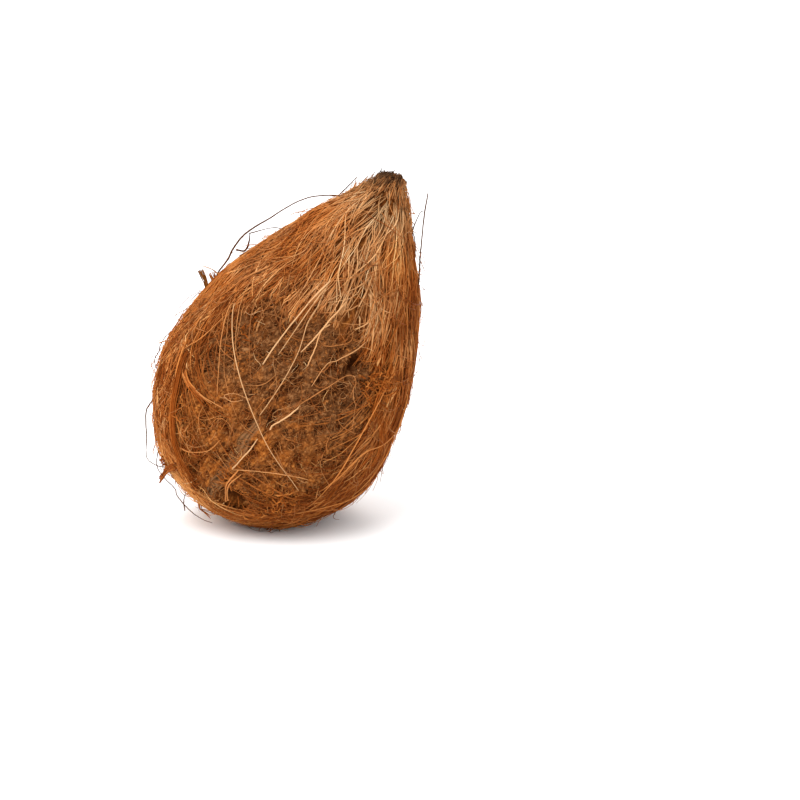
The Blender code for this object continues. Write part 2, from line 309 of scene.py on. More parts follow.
def walkStrands(starts, heading, lengths, bends):
    # each strand sets off at `heading` degrees from straight down the husk, turns by `bends` degrees
    # at every step, and after each step is put back on the husk
    steps = bends.shape[1]
    points = ontoHusk(starts)
    normal = huskNormal(points)
    down = unit(flatTo(np.zeros_like(points) + np.array([0, 0, -1.0]), normal))
    angle = np.radians(heading)[:, None]
    ahead = down * np.cos(angle) + np.cross(normal, down) * np.sin(angle)
    line, norms = [points], [normal]
    for step in range(steps - 1):
        angle = np.radians(bends[:, step])[:, None]
        ahead = ahead * np.cos(angle) + np.cross(normal, ahead) * np.sin(angle)
        points = ontoHusk(points + ahead * (lengths / (steps - 1))[:, None])
        normal = huskNormal(points)
        ahead = unit(flatTo(ahead, normal))
        line.append(points)
        norms.append(normal)
    return np.stack(line, 1), np.stack(norms, 1)


def resample(values, shares):
    # values at fractional places 0 to 1 along each strand
    steps = values.shape[1]
    place = np.clip(shares, 0, 1) * (steps - 1)
    low = np.minimum(place.astype(int), steps - 2)
    part = place - low
    rows = np.arange(len(values))[:, None]
    if values.ndim == 3:
        part = part[..., None]
    return values[rows, low] * (1 - part) + values[rows, low + 1] * part


def growStrands(look, starts, rng, lockOf=None, keepOffBare=False):
    # heading, bow and curl are drawn for each lock, with a share of each strand's own; a strand stops
    # at a dent, and at the torn edge of a bare patch, or hangs a little over it
    count, steps = len(starts), strand["steps"]
    lockOf = np.arange(count) if lockOf is None else lockOf
    locks = lockOf.max() + 1
    own = look.get("own", 0.35)

    def drawn(spread):
        # one value for each lock plus a share of each strand's own
        return spread * (rng.normal(size=locks)[lockOf] + own * rng.normal(size=count))

    heading = look.get("heading", 0) + drawn(look["stray"])
    heading = heading + look["flow"] * drift(starts, 0.05, look["seed"] + 1)
    turning = drawn(look["bow"])[:, None] / steps
    phase = rng.uniform(0, 2 * math.pi, locks)[lockOf] + 2 * own * rng.normal(size=count)
    waves = rng.uniform(0.7, 1.5, locks)[lockOf] * look.get("curlTurns", 1.5)
    strength = look["curl"] * rng.uniform(0.3, 1, count)[:, None] / steps * 4
    curl = strength * np.sin(phase[:, None] + 2 * math.pi * waves[:, None] * np.linspace(0, 1, steps)[None])
    lengths = rng.uniform(*look["length"], locks)[lockOf] * rng.uniform(0.75, 1.1, count)
    line, norms = walkStrands(starts, heading, lengths, turning + curl)
    past = dentDepth(line) > strand["dentStop"]
    over = 0
    if keepOffBare:
        past = past | (bareness(line) > rng.uniform(*strand["bareStop"], (count, 1)))
        over = look.get("overhang", 0) * rng.uniform(0, 1, count)**2
    reach = np.where(past.any(1), past.argmax(1) / (steps - 1), 1.0)
    reach = np.minimum(1, reach + over * (reach < 1))
    keep = reach * lengths > look.get("shortest", 0.006)
    shares = np.linspace(0, 1, look["rings"])[None] * reach[:, None]
    return resample(line, shares)[keep], unit(resample(norms, shares)[keep]), keep


def liftStrands(line, norms, layer, wave, rootSink, endRise, rng):
    # the layer's height plus two slow waves, less a sunk root, plus the rise of the free end, pressed
    # in at the tip; small random steps sideways keep the fibre from looking combed
    share = np.linspace(0, 1, line.shape[1])[None]
    phase = rng.uniform(0, 2 * math.pi, (len(line), 2))
    waves = np.sin(phase[:, :1] + 7 * share) + 0.6 * np.sin(phase[:, 1:] + 15 * share)
    rise = layer[:, None] + wave * waves * np.minimum(1, 4 * share)
    rise = rise - rootSink * np.exp(-share * 9) + endRise[:, None] * share**3
    pressIn, *heights = strand["pressIn"]
    rise = rise - pressIn * smoothStep(*heights, line[..., 2])
    steps = flatTo(strand["kink"] * rng.normal(size=line.shape), norms)
    return line + steps + norms * (bodyLift(line) + rise)[..., None]


def taperWidths(width, rings, rng, thinEnd=0.35):
    # full width at the root, less along a power curve, with a slow swelling
    share = np.linspace(0, 1, rings)[None]
    shape = 1 - (1 - thinEnd) * share**2.2
    swell = 1 + 0.15 * np.sin(rng.uniform(0, 6.28, (len(width), 1)) + 9 * share)
    return width[:, None] * shape * swell


def drawWidths(look, count, rng, thinEnd=0.35):
    # a width drawn for every strand, then tapered
    return taperWidths(rng.uniform(*look["width"], count), look["rings"], rng, thinEnd)


def around(middle, spread, count, rng, low=0, high=1):
    # a bell of values about the middle, held between two bounds
    return np.clip(middle + spread * rng.normal(size=count), low, high)


def strewn(turn, height, spread, count, rng):
    # turns and heights strewn round a place, with a spread in degrees
    turn = turn + spread * rng.normal(size=count)
    return turn, height + np.radians(spread) * nut["radius"] * rng.normal(size=count)


def routeLine(route, rings):
    # a Catmull-Rom line through places given as turn in degrees, height in mm and lift in mm
    route = np.asarray(route, float)
    padded = np.concatenate([[2 * route[0] - route[1]], route, [2 * route[-1] - route[-2]]])
    share = np.linspace(0, len(route) - 1 - 1e-9, rings)
    index = share.astype(int)
    t = (share - index)[:, None]
    before, start, end, after = (padded[index + k] for k in range(4))
    places = 0.5 * (2 * start + (end - before) * t + (2 * before - 5 * start + 4 * end - after) * t**2
                    + (3 * start - before - 3 * end + after) * t**3)
    base = huskPoint(places[:, 0], places[:, 1] * mm)
    norm = huskNormal(base)
    return base + norm * (formLift(base) + places[:, 2] * mm)[:, None], norm


coat = {
    "tint": 0.53,                       # 0 is the darkest fibre, 1 the palest
    "grey": 0.03,                       # 0 is rusty, 1 bleached
    "frontStreak": (0, 20, 0.55),       # turn, half turn and grey of the two bleached streaks
    "backStreak": (150, 30, 0.35),
    "streakHeights": (0.040, 0.080),    # between which they come in
    "upperGrey": (0.10, 0.015, 0.060),  # how much is added, and between which heights it comes in
    "tipGrey": (0.50, 0.095, 0.116),
    "tipPale": (0.13, 0.092, 0.115),
    # painted light: the foot made paler, as if lit from the floor below it
    "footBounceLight": (0.26, -0.058, -0.038),
    "shadeTurn": (0.27, 75, 30),        # how dark, turn and half turn of the shaded side
    "shadeHeights": (0.104, 0.118),     # between which it fades out
}


def zoneTint(points, lockOf, spread, rng):
    # tint 0 dark to 1 pale, and grey 0 rusty to 1 bleached, at every point of every strand: rusty low
    # down, bleached in the two streaks and at the tip, paler at the foot as painted light from the floor,
    # darker on one side as painted shade, each lock with a tint of its own
    turn, height = turnOf(points), points[..., 2]
    count = len(points)

    def comingIn(name):
        # the whole amount above the upper of two heights, nothing below the lower
        most, *heights = coat[name]
        return most * smoothStep(*heights, height)

    frontTurn, frontHalf, frontGrey = coat["frontStreak"]
    backTurn, backHalf, backGrey = coat["backStreak"]
    front = np.exp(-(turnFrom(turn, frontTurn) / frontHalf)**2)
    behind = np.exp(-((np.abs(turn) - backTurn) / backHalf)**2)
    streaks = smoothStep(*coat["streakHeights"], height)
    grey = coat["grey"] + comingIn("upperGrey") + 0.12 * drift(points, 0.03, 71)
    grey += (frontGrey * front + backGrey * behind) * streaks
    grey += comingIn("tipGrey")
    tint = coat["tint"] - 0.06 * smoothStep(0.02, 0.06, height) * np.cos(np.radians(turn + 70))
    tint += 0.06 * drift(points, 0.02, 72) + comingIn("tipPale")
    footBounceLight, *footHeights = coat["footBounceLight"]
    tint += 0.05 * front * streaks + footBounceLight * (1 - smoothStep(*footHeights, height))
    shade, shadeTurn, shadeHalf = coat["shadeTurn"]
    aside = turnFrom(turn, shadeTurn) / shadeHalf
    tint -= shade * np.exp(-aside**2) * (1 - smoothStep(*coat["shadeHeights"], height))
    own = spread * (0.8 * rng.normal(size=lockOf.max() + 1)[lockOf] + 0.7 * rng.normal(size=count))
    return np.clip(tint + own[:, None], 0.02, 1), np.clip(grey + rng.normal(0, 0.12, (count, 1)), 0, 1)


palette = {
    # from the darkest to the palest fibre, fresh and bleached
    "rust": [(0.0, (0.100, 0.018, 0.002)), (0.30, (0.260, 0.060, 0.008)), (0.55, (0.460, 0.145, 0.028)),
             (0.80, (0.630, 0.265, 0.076)), (1.0, (0.780, 0.440, 0.165))],
    "grey": [(0.0, (0.100, 0.035, 0.006)), (0.30, (0.260, 0.110, 0.035)), (0.55, (0.460, 0.240, 0.100)),
             (0.80, (0.620, 0.385, 0.195)), (1.0, (0.800, 0.590, 0.360))],
    # pith from its pits to its high grains
    "darkPith": [(0.30, (0.030, 0.009, 0.002)), (0.5, (0.125, 0.045, 0.014)), (0.70, (0.310, 0.140, 0.052))],
    "rustyPith": [(0.30, (0.070, 0.015, 0.002)), (0.5, (0.260, 0.075, 0.013)), (0.70, (0.540, 0.200, 0.042))],
    "shell": [(0.20, (0.055, 0.024, 0.008)), (0.80, (0.290, 0.135, 0.055))],
    # painted shade: the near-black that strand roots, the husk under the coat and the pith's hollows are
    # darkened towards
    "paintedShade": (0.040, 0.008, 0.001),
    "crumb": (0.42, 0.16, 0.045),
    "char": (0.026, 0.012, 0.006),
}


def addNode(tree, kind, **settings):
    # a node with its own properties set
    node = tree.nodes.new(kind)
    for name, value in settings.items():
        setattr(node, name, value)
    return node


def plug(tree, socket, value):
    # a number or colour is set on the socket, anything else is linked to it
    if isinstance(value, (int, float)):
        socket.default_value = value
    elif isinstance(value, tuple):
        socket.default_value = (*value, 1)
    else:
        tree.links.new(value, socket)


def attributeNode(tree, name):
    # a value laid on the points of the mesh
    return addNode(tree, "ShaderNodeAttribute", attribute_name=name).outputs["Fac"]


def rampNode(tree, stops, place):
    # the colour at a place between 0 and 1 on a ramp of (position, colour)
    ramp = tree.nodes.new("ShaderNodeValToRGB")
    elements = ramp.color_ramp.elements
    while len(elements) < len(stops):
        elements.new(0.5)
    for element, (position, colour) in zip(elements, stops):
        element.position = position
        element.color = (*colour, 1)
    plug(tree, ramp.inputs[0], place)
    return ramp.outputs[0]


def mathNode(tree, operation, first, second, clamp=False):
    # one sum on two values, held between 0 and 1 when clamped
    node = addNode(tree, "ShaderNodeMath", operation=operation, use_clamp=clamp)
    plug(tree, node.inputs[0], first)
    plug(tree, node.inputs[1], second)
    return node.outputs[0]


def mixNode(tree, factor, first, second):
    # the first colour at factor 0, the second at 1
    node = addNode(tree, "ShaderNodeMix", data_type="RGBA")
    plug(tree, node.inputs[0], factor)
    plug(tree, node.inputs[6], first)
    plug(tree, node.inputs[7], second)
    return node.outputs[2]


def rangeNode(tree, value, fromMin, fromMax, toMin=0.0, toMax=1.0):
    # a straight line from one range to the other, held at its ends
    node = tree.nodes.new("ShaderNodeMapRange")
    for label, number in zip(("Value", "From Min", "From Max", "To Min", "To Max"),
                             (value, fromMin, fromMax, toMin, toMax)):
        plug(tree, node.inputs[label], number)
    return node.outputs[0]


def noiseNode(tree, vector, scale, detail=3, rough=0.6):
    # smooth noise between 0 and 1 at a place
    node = tree.nodes.new("ShaderNodeTexNoise")
    for label, value in (("Vector", vector), ("Scale", scale), ("Detail", detail), ("Roughness", rough)):
        plug(tree, node.inputs[label], value)
    return node.outputs["Fac"]


def newGroup(name, inputs):
    # a shared effect with number inputs that gives a colour and a height
    tree = bpy.data.node_groups.new(name, "ShaderNodeTree")
    for label, value in inputs.items():
        tree.interface.new_socket(label, in_out="INPUT", socket_type="NodeSocketFloat").default_value = value
    tree.interface.new_socket("Colour", in_out="OUTPUT", socket_type="NodeSocketColor")
    tree.interface.new_socket("Height", in_out="OUTPUT", socket_type="NodeSocketFloat")
    return tree, tree.nodes.new("NodeGroupInput").outputs, tree.nodes.new("NodeGroupOutput").inputs


def coirColourGroup():
    # the strand's tint, broken by two noises, is looked up in the fresh and the bleached ramp and mixed
    # by grey; the root is darkened with painted shade and a cut end charred
    tree, inside, outside = newGroup("coirColour", {"Tint Shift": 0.0, "Mottle": 0.18, "Root Shade": 0.35})
    place = objectPlace(tree)
    speckle = noiseNode(tree, place, 420, 2)
    patch = noiseNode(tree, place, 90, 2)
    broken = mathNode(tree, "SUBTRACT", mathNode(tree, "ADD", speckle, patch), 1.0)
    shift = mathNode(tree, "ADD", mathNode(tree, "MULTIPLY", broken, inside["Mottle"]), inside["Tint Shift"])
    tint = mathNode(tree, "ADD", attributeNode(tree, "tint"), shift, clamp=True)
    colour = mixNode(tree, attributeNode(tree, "grey"), rampNode(tree, palette["rust"], tint),
                     rampNode(tree, palette["grey"], tint))
    # painted shade at the root, where the strand sinks under the others
    rootward = mathNode(tree, "POWER", mathNode(tree, "SUBTRACT", 1.0, attributeNode(tree, "along")), 3.0)
    shaded = mathNode(tree, "MULTIPLY", rootward, inside["Root Shade"])
    colour = mixNode(tree, shaded, colour, palette["paintedShade"])
    charred = mathNode(tree, "MULTIPLY", attributeNode(tree, "cut"), 0.9)
    plug(tree, outside["Colour"], mixNode(tree, charred, colour, palette["char"]))
    plug(tree, outside["Height"], speckle)
    return tree


def pithGrainGroup():
    # dark pith and rust dust in patches, each looked up by fine grain, with small cells in the bump
    tree, inside, outside = newGroup("pithGrain", {"Rust": 0.5, "Grain Scale": 420.0})
    place = objectPlace(tree)
    grain = noiseNode(tree, place, inside["Grain Scale"], 4, 0.7)
    coarse = noiseNode(tree, place, 70, 4, 0.65)
    cells = addNode(tree, "ShaderNodeTexVoronoi", feature="F1")
    plug(tree, cells.inputs["Vector"], place)
    plug(tree, cells.inputs["Scale"], 620)
    patches = mathNode(tree, "MULTIPLY", mathNode(tree, "SUBTRACT", coarse, 0.5), 3.2)
    mask = mathNode(tree, "ADD", patches, inside["Rust"], clamp=True)
    colour = mixNode(tree, mask, rampNode(tree, palette["darkPith"], grain),
                     rampNode(tree, palette["rustyPith"], grain))
    plug(tree, outside["Colour"], colour)
    height = mathNode(tree, "SUBTRACT", mathNode(tree, "MULTIPLY", grain, 1.4), cells.outputs["Distance"])
    plug(tree, outside["Height"], height)
    return tree


def newMaterial(name, roughness, specular):
    # a Principled material with its uniform values on its own sockets
    material = bpy.data.materials.new(name)
    material.use_nodes = True
    shader = material.node_tree.nodes["Principled BSDF"]
    shader.inputs["Roughness"].default_value = roughness
    shader.inputs["Specular IOR Level"].default_value = specular
    return material, material.node_tree, shader


def placeGroup(tree, group, values):
    # a shared effect with its inputs set or linked
    node = tree.nodes.new("ShaderNodeGroup")
    node.node_tree = group
    for label, value in values.items():
        plug(tree, node.inputs[label], value)
    return node.outputs["Colour"], node.outputs["Height"]


def objectPlace(tree):
    # the place in the object, in metres
    return tree.nodes.new("ShaderNodeTexCoord").outputs["Object"]


def finishLook(tree, shader, colour, height, strength, distance):
    # the shader takes the colour, and its normal is bent by the height
    plug(tree, shader.inputs["Base Color"], colour)
    bump = tree.nodes.new("ShaderNodeBump")
    bump.inputs["Strength"].default_value = strength
    bump.inputs["Distance"].default_value = distance
    plug(tree, bump.inputs["Height"], height)
    plug(tree, shader.inputs["Normal"], bump.outputs["Normal"])


coirColour = coirColourGroup()
pithGrain = pithGrainGroup()


def fibreMaterial(name, roughness, specular, *shares):
    # strands take their colour from the shared group, with a light bump from its speckle
    material, tree, shader = newMaterial(name, roughness, specular)
    values = dict(zip(("Tint Shift", "Mottle", "Root Shade"), shares))
    colour, height = placeGroup(tree, coirColour, values)
    finishLook(tree, shader, colour, height, 0.35, 0.0002)
    return material


# roughness, specular level, tint shift, mottle and root shade
fibreLooks = {
    # the matted fibre's tint shift of -0.36 is painted shade in the gaps under the coat
    "mattedFibrePaintedShade": (0.80, 0.02, -0.36, 0.30, 0.35),
    "coatFibre": (0.62, 0.04, 0.0, 0.12, 0.30),
    "strawFibre": (0.50, 0.06, 0.0, 0.10, 0.10),
    "tornHusk": (0.80, 0.02, 0.0, 0.35, 0.20),
}
fibres = {name: fibreMaterial(name, *look) for name, look in fibreLooks.items()}
print("materials ready")


huskBody = {
    "columns": 368,
    "rows": 204,
    "frontShare": 0.45,    # how much closer the columns stand in front
    "faceShare": 1.1,      # how much closer the rows stand over the bare face
    "streak": 0.00045,     # height of the fibre streaks under the coat
    "clod": 0.0009,        # height of the pith lumps
    "grain": 0.00055,
    "coatSink": 0.0025,    # how far the body lies below the coat
    # turn and height along the strip where the smooth shell shows, and half its width
    "shellStreak": [(-9, 0.0034), (-12, -0.0039), (-12, -0.0128), (-14, -0.0257), (-17, -0.0405),
                    (-22, -0.0497)],
    "shellWidth": 0.0029,
    "scar": [(0.82, 0.0004), (0.55, 0.0016), (0.28, 0.0021)],  # share of the rim's width, depth
}


def shellOffset(points, look):
    # how far aside of the middle of the strip of bare shell, as a share of its half width
    height = points[..., 2]
    routeTurn, routeHeight = np.array(look["shellStreak"]).T
    middle = np.interp(-height, -routeHeight, routeTurn)
    offset = np.radians(turnOf(points) - middle) * huskRadius(height)
    return (offset + 0.0007 * drift(points, 0.008, 33)) / look["shellWidth"]


def shellMask(points, look):
    # 1 on the strip, 0 a millimetre off it
    height = points[..., 2]
    ends = smoothStep(-0.054, -0.048, height) * (1 - smoothStep(0.0, 0.005, height))
    return (1 - smoothStep(0.8, 1.2, np.abs(shellOffset(points, look)))) * ends


def pithRelief(points, look):
    # lumps of two sizes and grains of two sizes
    clods = look["clod"] * (drift(points, 0.010, 21) + 0.6 * drift(points, 0.0045, 22, 30))
    grains = look["grain"] * (np.abs(drift(points, 0.0026, 23, 40)) + 0.5 * drift(points, 0.0014, 24, 40))
    return clods + grains


def huskLift(points, look):
    # streaks along the husk outside the bare patches, pith inside them, and the dents
    turn, height = turnOf(points), points[..., 2]
    bare = bareness(points)
    rng = np.random.default_rng(17)
    streak = 0
    for _ in range(26):
        around, along = rng.integers(18, 120), rng.uniform(-130, 130)
        streak = streak + np.sin(around * np.radians(turn) + along * height + rng.uniform(0, 6.28))
    streak = streak / math.sqrt(13) * look["streak"] * np.minimum(1, huskRadius(height) / 0.03)
    relief = pithRelief(points, look) * bare * (1 - 0.85 * shellMask(points, look))
    return bodyLift(points) - look["coatSink"] * (1 - bare) + streak * (1 - bare) + relief - dentDepth(points)


def huskRows(look):
    # heights evenly spaced along the profile, but closer over the bare face
    lower = -nut["radius"] * np.cos(np.linspace(0.004, math.pi / 2, 600))
    fine = np.concatenate([lower, np.linspace(0, nut["tipHeight"], 700)[1:]])
    weight = 1 + look["faceShare"] * np.exp(-((fine - 0.010) / 0.055)**2)
    step = np.hypot(np.diff(fine), np.diff(huskRadius(fine))) * weight[1:]
    run = np.concatenate([[0], np.cumsum(step)])
    return np.interp(np.linspace(0, run[-1], look["rows"]), run, fine)


def buildHuskBody(look, material):
    # a grid of turns and heights, closed by a pole below and a sunken scar above
    columns, rows = look["columns"], look["rows"]
    u = np.linspace(-0.5, 0.5, columns + 1)[:-1]
    turn = 360 * u - look["frontShare"] * np.degrees(np.sin(2 * math.pi * u))
    grid = huskPoint(turn[None, :], huskRows(look)[:, None])
    points = toWorld(grid + huskNormal(grid) * huskLift(grid, look)[..., None])
    rim = points[-1]
    middle = rim.mean(0)
    axis = leanOver(np.array([0, 0, 1.0]))
    rough = 0.0004 * drift(grid[-1], 0.003, 41)[:, None]
    scar = [middle + (rim - middle) * share - axis * (depth + rough) for share, depth in look["scar"]]
    points = np.concatenate([points, np.stack(scar)])
    points[..., 2] = np.clip(points[..., 2], 0.0, trimHeight(points) - 0.0008)
    pole = toWorld(np.array([[0, 0, -nut["radius"]]]))
    top = points[-1].mean(0)[None] - axis * 0.0003
    allPoints = np.concatenate([points.reshape(-1, 3), pole, top])
    allRows = len(points)
    walls, corners = tubeFaces(allRows, columns)
    ring = np.arange(columns)
    after = (ring + 1) % columns
    last, poleIndex = (allRows - 1) * columns, allRows * columns
    triangles = np.concatenate([
        walls, np.stack([np.full(columns, poleIndex), after, ring], 1),
        np.stack([last + ring, last + after, np.full(columns, poleIndex + 1)], 1),
    ])
    # the map unrolls the husk: turn across, rows upwards
    fan = lambda aside, level: np.stack([(ring + aside) / columns, np.full(columns, level)], 1)
    uv = np.concatenate([
        corners * [1, 0.96] + [0, 0.02],
        np.stack([fan(0.5, 0.0), fan(1, 0.02), fan(0, 0.02)], 1),
        np.stack([fan(0, 0.98), fan(1, 0.98), fan(0.5, 1.0)], 1),
    ])
    relief = 0.5 + 380 * pithRelief(grid, look) - 160 * dentDepth(grid)
    cut = smoothStep(*nut["cutLevel"], toWorld(grid)[..., 2] + 0.0018 * drift(grid, 0.005, 61))
    below = 1 - smoothStep(-0.015, 0.030, grid[..., 2])
    stripe = 0.5 + 0.5 * np.sin(9 * shellOffset(grid, look) + 0.7 * drift(grid, 0.006, 34))
    extra = len(scar) * columns
    values = {}
    for label, field, atTop in (("bare", bareness(grid), 0), ("shell", shellMask(grid, look), 0),
                                ("relief", np.clip(relief, 0, 1), 0.2), ("cut", cut, 1), ("below", below, 0),
                                ("stripe", stripe, 0)):
        values[label] = np.concatenate([field.ravel(), np.full(extra, atTop), [field[0, 0], atTop]])
    addPiece("huskBody", material, allPoints, triangles, uv, **values)


def huskMaterial():
    # pith where bare, darkened by painted shade in its hollows, with rusty high grains; matted fibre colour
    # under the coat, darkened by painted shade; brown shell in the strip, char at the cut
    material, tree, shader = newMaterial("huskPith", 0.85, 0.02)
    rusty = rangeNode(tree, attributeNode(tree, "below"), 0.0, 1.0, -0.35, 0.60)
    relief = attributeNode(tree, "relief")
    pithRust = mathNode(tree, "ADD", rusty, rangeNode(tree, relief, 0.2, 0.9, -0.25, 0.25))
    pith, height = placeGroup(tree, pithGrain, {"Grain Scale": 430.0, "Rust": pithRust})
    under, _ = placeGroup(tree, pithGrain, {"Grain Scale": 700.0, "Rust": 0.9})
    # painted shade on the husk under the coat
    under = mixNode(tree, 0.45, under, palette["paintedShade"])
    # painted shade in the pith's hollows and dents, where the relief is low
    pith = mixNode(tree, rangeNode(tree, relief, 0.50, 0.10, 0.0, 0.85), pith, palette["paintedShade"])
    colour = mixNode(tree, attributeNode(tree, "bare"), under, pith)
    place = objectPlace(tree)
    striped = mathNode(tree, "ADD", noiseNode(tree, place, 300, 3), attributeNode(tree, "stripe"))
    shell = rampNode(tree, palette["shell"], mathNode(tree, "MULTIPLY", striped, 0.5))
    colour = mixNode(tree, attributeNode(tree, "shell"), colour, shell)
    colour = mixNode(tree, attributeNode(tree, "cut"), colour, palette["char"])
    finishLook(tree, shader, colour, height, 0.8, 0.0006)
    return material


buildHuskBody(huskBody, huskMaterial())


# fibres that cover the husk, from the matted ones beneath to the locks that stream from the tuft
underCoat = {
    "locks": 2600, "perLock": 1, "lockWidth": 0.0, "lockLength": 0.0, "rings": 8,
    "width": (0.00055, 0.0010), "length": (0.026, 0.055), "heights": (-0.0605, 0.128),
    "stray": 9, "flow": 7, "bow": 14, "curl": 6, "seed": 101, "layer": (-0.0024, -0.0013),
    "wave": 0.00018, "tintSpread": 0.12, "overhang": 0.05,
}
longCoat = {
    "locks": 480, "perLock": 6, "lockWidth": 0.0026, "lockLength": 0.006, "rings": 11,
    "width": (0.00070, 0.00150), "length": (0.035, 0.080), "heights": (-0.058, 0.1265),
    "stray": 9, "flow": 10, "bow": 24, "curl": 14, "own": 0.5, "seed": 202, "layer": (-0.0017, -0.0005),
    "wave": 0.00026, "tintSpread": 0.17, "overhang": 0.10,
}
topCoat = {
    "locks": 330, "perLock": 6, "lockWidth": 0.0022, "lockLength": 0.006, "rings": 11,
    "width": (0.00044, 0.00110), "length": (0.025, 0.070), "heights": (-0.050, 0.1265),
    "stray": 18, "flow": 12, "bow": 46, "curl": 40, "own": 0.7, "seed": 303, "layer": (-0.0010, 0.0003),
    "wave": 0.00042, "tintSpread": 0.14, "overhang": 0.16, "shift": 0.03, "endRise": 0.0016,
}
tuft = {
    "locks": 130, "perLock": 7, "lockWidth": 0.0022, "lockLength": 0.003, "rings": 12,
    "width": (0.00040, 0.00090), "length": (0.030, 0.085), "heights": (0.098, 0.1290),
    "stray": 15, "flow": 10, "bow": 32, "curl": 30, "own": 0.5, "seed": 404, "layer": (-0.0012, 0.0002),
    "wave": 0.00036, "tintSpread": 0.14, "overhang": 0.12, "shift": 0.02, "endRise": 0.0016,
}


def buildCoat(name, look, material):
    # locks of strands that run down the husk, each lock rounded across; tint goes mostly by lock
    rng = np.random.default_rng(look["seed"])
    starts, lockOf, aside = lockStarts(scatter(look["locks"], *look["heights"], rng), look, rng)
    line, norms, keep = growStrands(look, starts, rng, lockOf, keepOffBare=True)
    layer = rng.uniform(*look["layer"], look["locks"])[lockOf] - strand["crown"] * np.minimum(aside**2, 3)
    layer = layer + strand["uneven"] * rng.normal(size=len(starts))
    rise = look.get("endRise", 0.0008) * rng.uniform(0, 1, len(starts))**3
    line = liftStrands(line, norms, layer[keep], look["wave"], strand["rootSink"], rise[keep], rng)
    width = taperWidths(rng.uniform(*look["width"], len(starts))[keep], look["rings"], rng)
    tint, grey = zoneTint(ontoHusk(line), lockOf[keep], look["tintSpread"], rng)
    strandPiece(name, material, line, norms, width, 0.75, np.clip(tint + look.get("shift", 0), 0, 1), grey)


buildCoat("underCoat", underCoat, fibres["mattedFibrePaintedShade"])
buildCoat("longCoat", longCoat, fibres["coatFibre"])
buildCoat("topCoat", topCoat, fibres["coatFibre"])
buildCoat("tuftStrands", tuft, fibres["coatFibre"])


faceFuzz = {
    "count": 12000, "most": 3800, "rings": 6, "width": (0.00020, 0.00036), "length": (0.006, 0.020),
    "heading": -20, "stray": 40, "flow": 22, "bow": 80, "curl": 50, "curlTurns": 1.2, "own": 1.0, "seed": 505,
    "layer": (-0.0002, 0.0010), "wave": 0.00045, "tintSpread": 0.24, "shortest": 0.002,
    "heights": (-0.045, 0.068), "rootSink": 0.0008, "endRise": 0.0010,
    "tint": (0.30, 0.11), "grey": (0.42, -0.38),  # high on the face, and what is added low down
}


def buildFuzz(look, material):
    # short curly fibres on the pith, rustier and brighter low down, sparse on the shell and in the dents
    rng = np.random.default_rng(look["seed"])
    starts = scatter(look["count"], *look["heights"], rng)
    worth = bareness(starts) * (1 - shellMask(starts, huskBody))
    worth *= 1 - 0.9 * np.clip(dentDepth(starts) / 0.003, 0, 1)
    starts = starts[worth > rng.uniform(0.1, 0.9, len(worth))][:look["most"]]
    count = len(starts)
    line, norms, keep = growStrands(look, starts, rng)
    starts, count = starts[keep], len(line)
    layer = rng.uniform(*look["layer"], count)
    endRise = look["endRise"] * rng.uniform(0, 1, count)
    line = liftStrands(line, norms, layer, look["wave"], look["rootSink"], endRise, rng)
    width = drawWidths(look, count, rng)
    low = 1 - smoothStep(-0.015, 0.030, starts[:, 2])
    (tint, lowTint), (grey, lowGrey) = look["tint"], look["grey"]
    tint = around(tint + lowTint * low, look["tintSpread"], count, rng, 0.02)
    grey = around(grey + lowGrey * low, 0.16, count, rng)
    strandPiece("faceFuzz", material, line, norms, width, 0.8, tint, grey)


buildFuzz(faceFuzz, fibres["coatFibre"])


huskShreds = {
    # turn, height, spread in degrees, how many, tint, lift
    "clusters": [(40, 0.041, 3.4, 100, 0.42, 0.0020), (42, 0.033, 2.6, 50, 0.38, 0.0020),
                 (12, -0.035, 5.0, 60, 0.46, 0), (-12, -0.032, 3.0, 24, 0.40, 0),
                 (22, -0.027, 4.0, 36, 0.42, 0), (-70, -0.049, 2.6, 26, 0.32, 0),
                 (-40, 0.030, 6.0, 30, 0.34, 0),
                 (-50, -0.012, 5.0, 30, 0.40, 0), (168, -0.008, 12.0, 50, 0.38, 0)],
    "rings": 6, "width": (0.00045, 0.0010), "length": (0.0022, 0.0065), "heading": -20, "stray": 60,
    "flow": 20, "bow": 90, "curl": 40, "own": 1.0, "seed": 515, "layer": (0.0002, 0.0024), "shortest": 0.001,
    "wave": 0.0003, "rootSink": 0.0022, "endRise": 0.0010,
}


def buildShreds(look, material):
    # short thick scraps of fibre heaped in clusters, sunk at the root and lifted at the end
    rng = np.random.default_rng(look["seed"])
    clusters = look["clusters"]
    turn, height, spread, _, tint, lift = np.repeat(clusters, [each[3] for each in clusters], axis=0).T
    count = len(turn)
    turn, height = strewn(turn, height, spread, count, rng)
    starts = huskPoint(turn, np.clip(height, -0.058, 0.1))
    line, norms, keep = growStrands(look, starts, rng)
    tint, lift, count = tint[keep], lift[keep], len(line)
    layer = rng.uniform(*look["layer"], count) + lift
    endRise = look["endRise"] * rng.uniform(0, 1, count)
    line = liftStrands(line, norms, layer, look["wave"], look["rootSink"] + lift[:, None], endRise, rng)
    width = drawWidths(look, count, rng, 0.5)
    tint = around(tint, 0.12, count, rng, 0.02)
    strandPiece("huskShreds", material, line, norms, width, 0.8, tint, np.zeros(count))


buildShreds(huskShreds, fibres["tornHusk"])


crumbs = {
    "flatten": 0.45, "gap": 0.00012,
    "count": 9000, "most": 2300, "heights": (-0.050, 0.075), "size": (0.0003, 0.0010), "seed": 606,
    # turn, height, spread in degrees, how many, size; all of these are rusty
    "clusters": [(40, 0.040, 3.0, 110, 1.3), (12, -0.035, 4.5, 60, 1.1), (-9, -0.032, 3.5, 40, 1.0),
                 (22, -0.026, 3.5, 40, 1.0)],
}


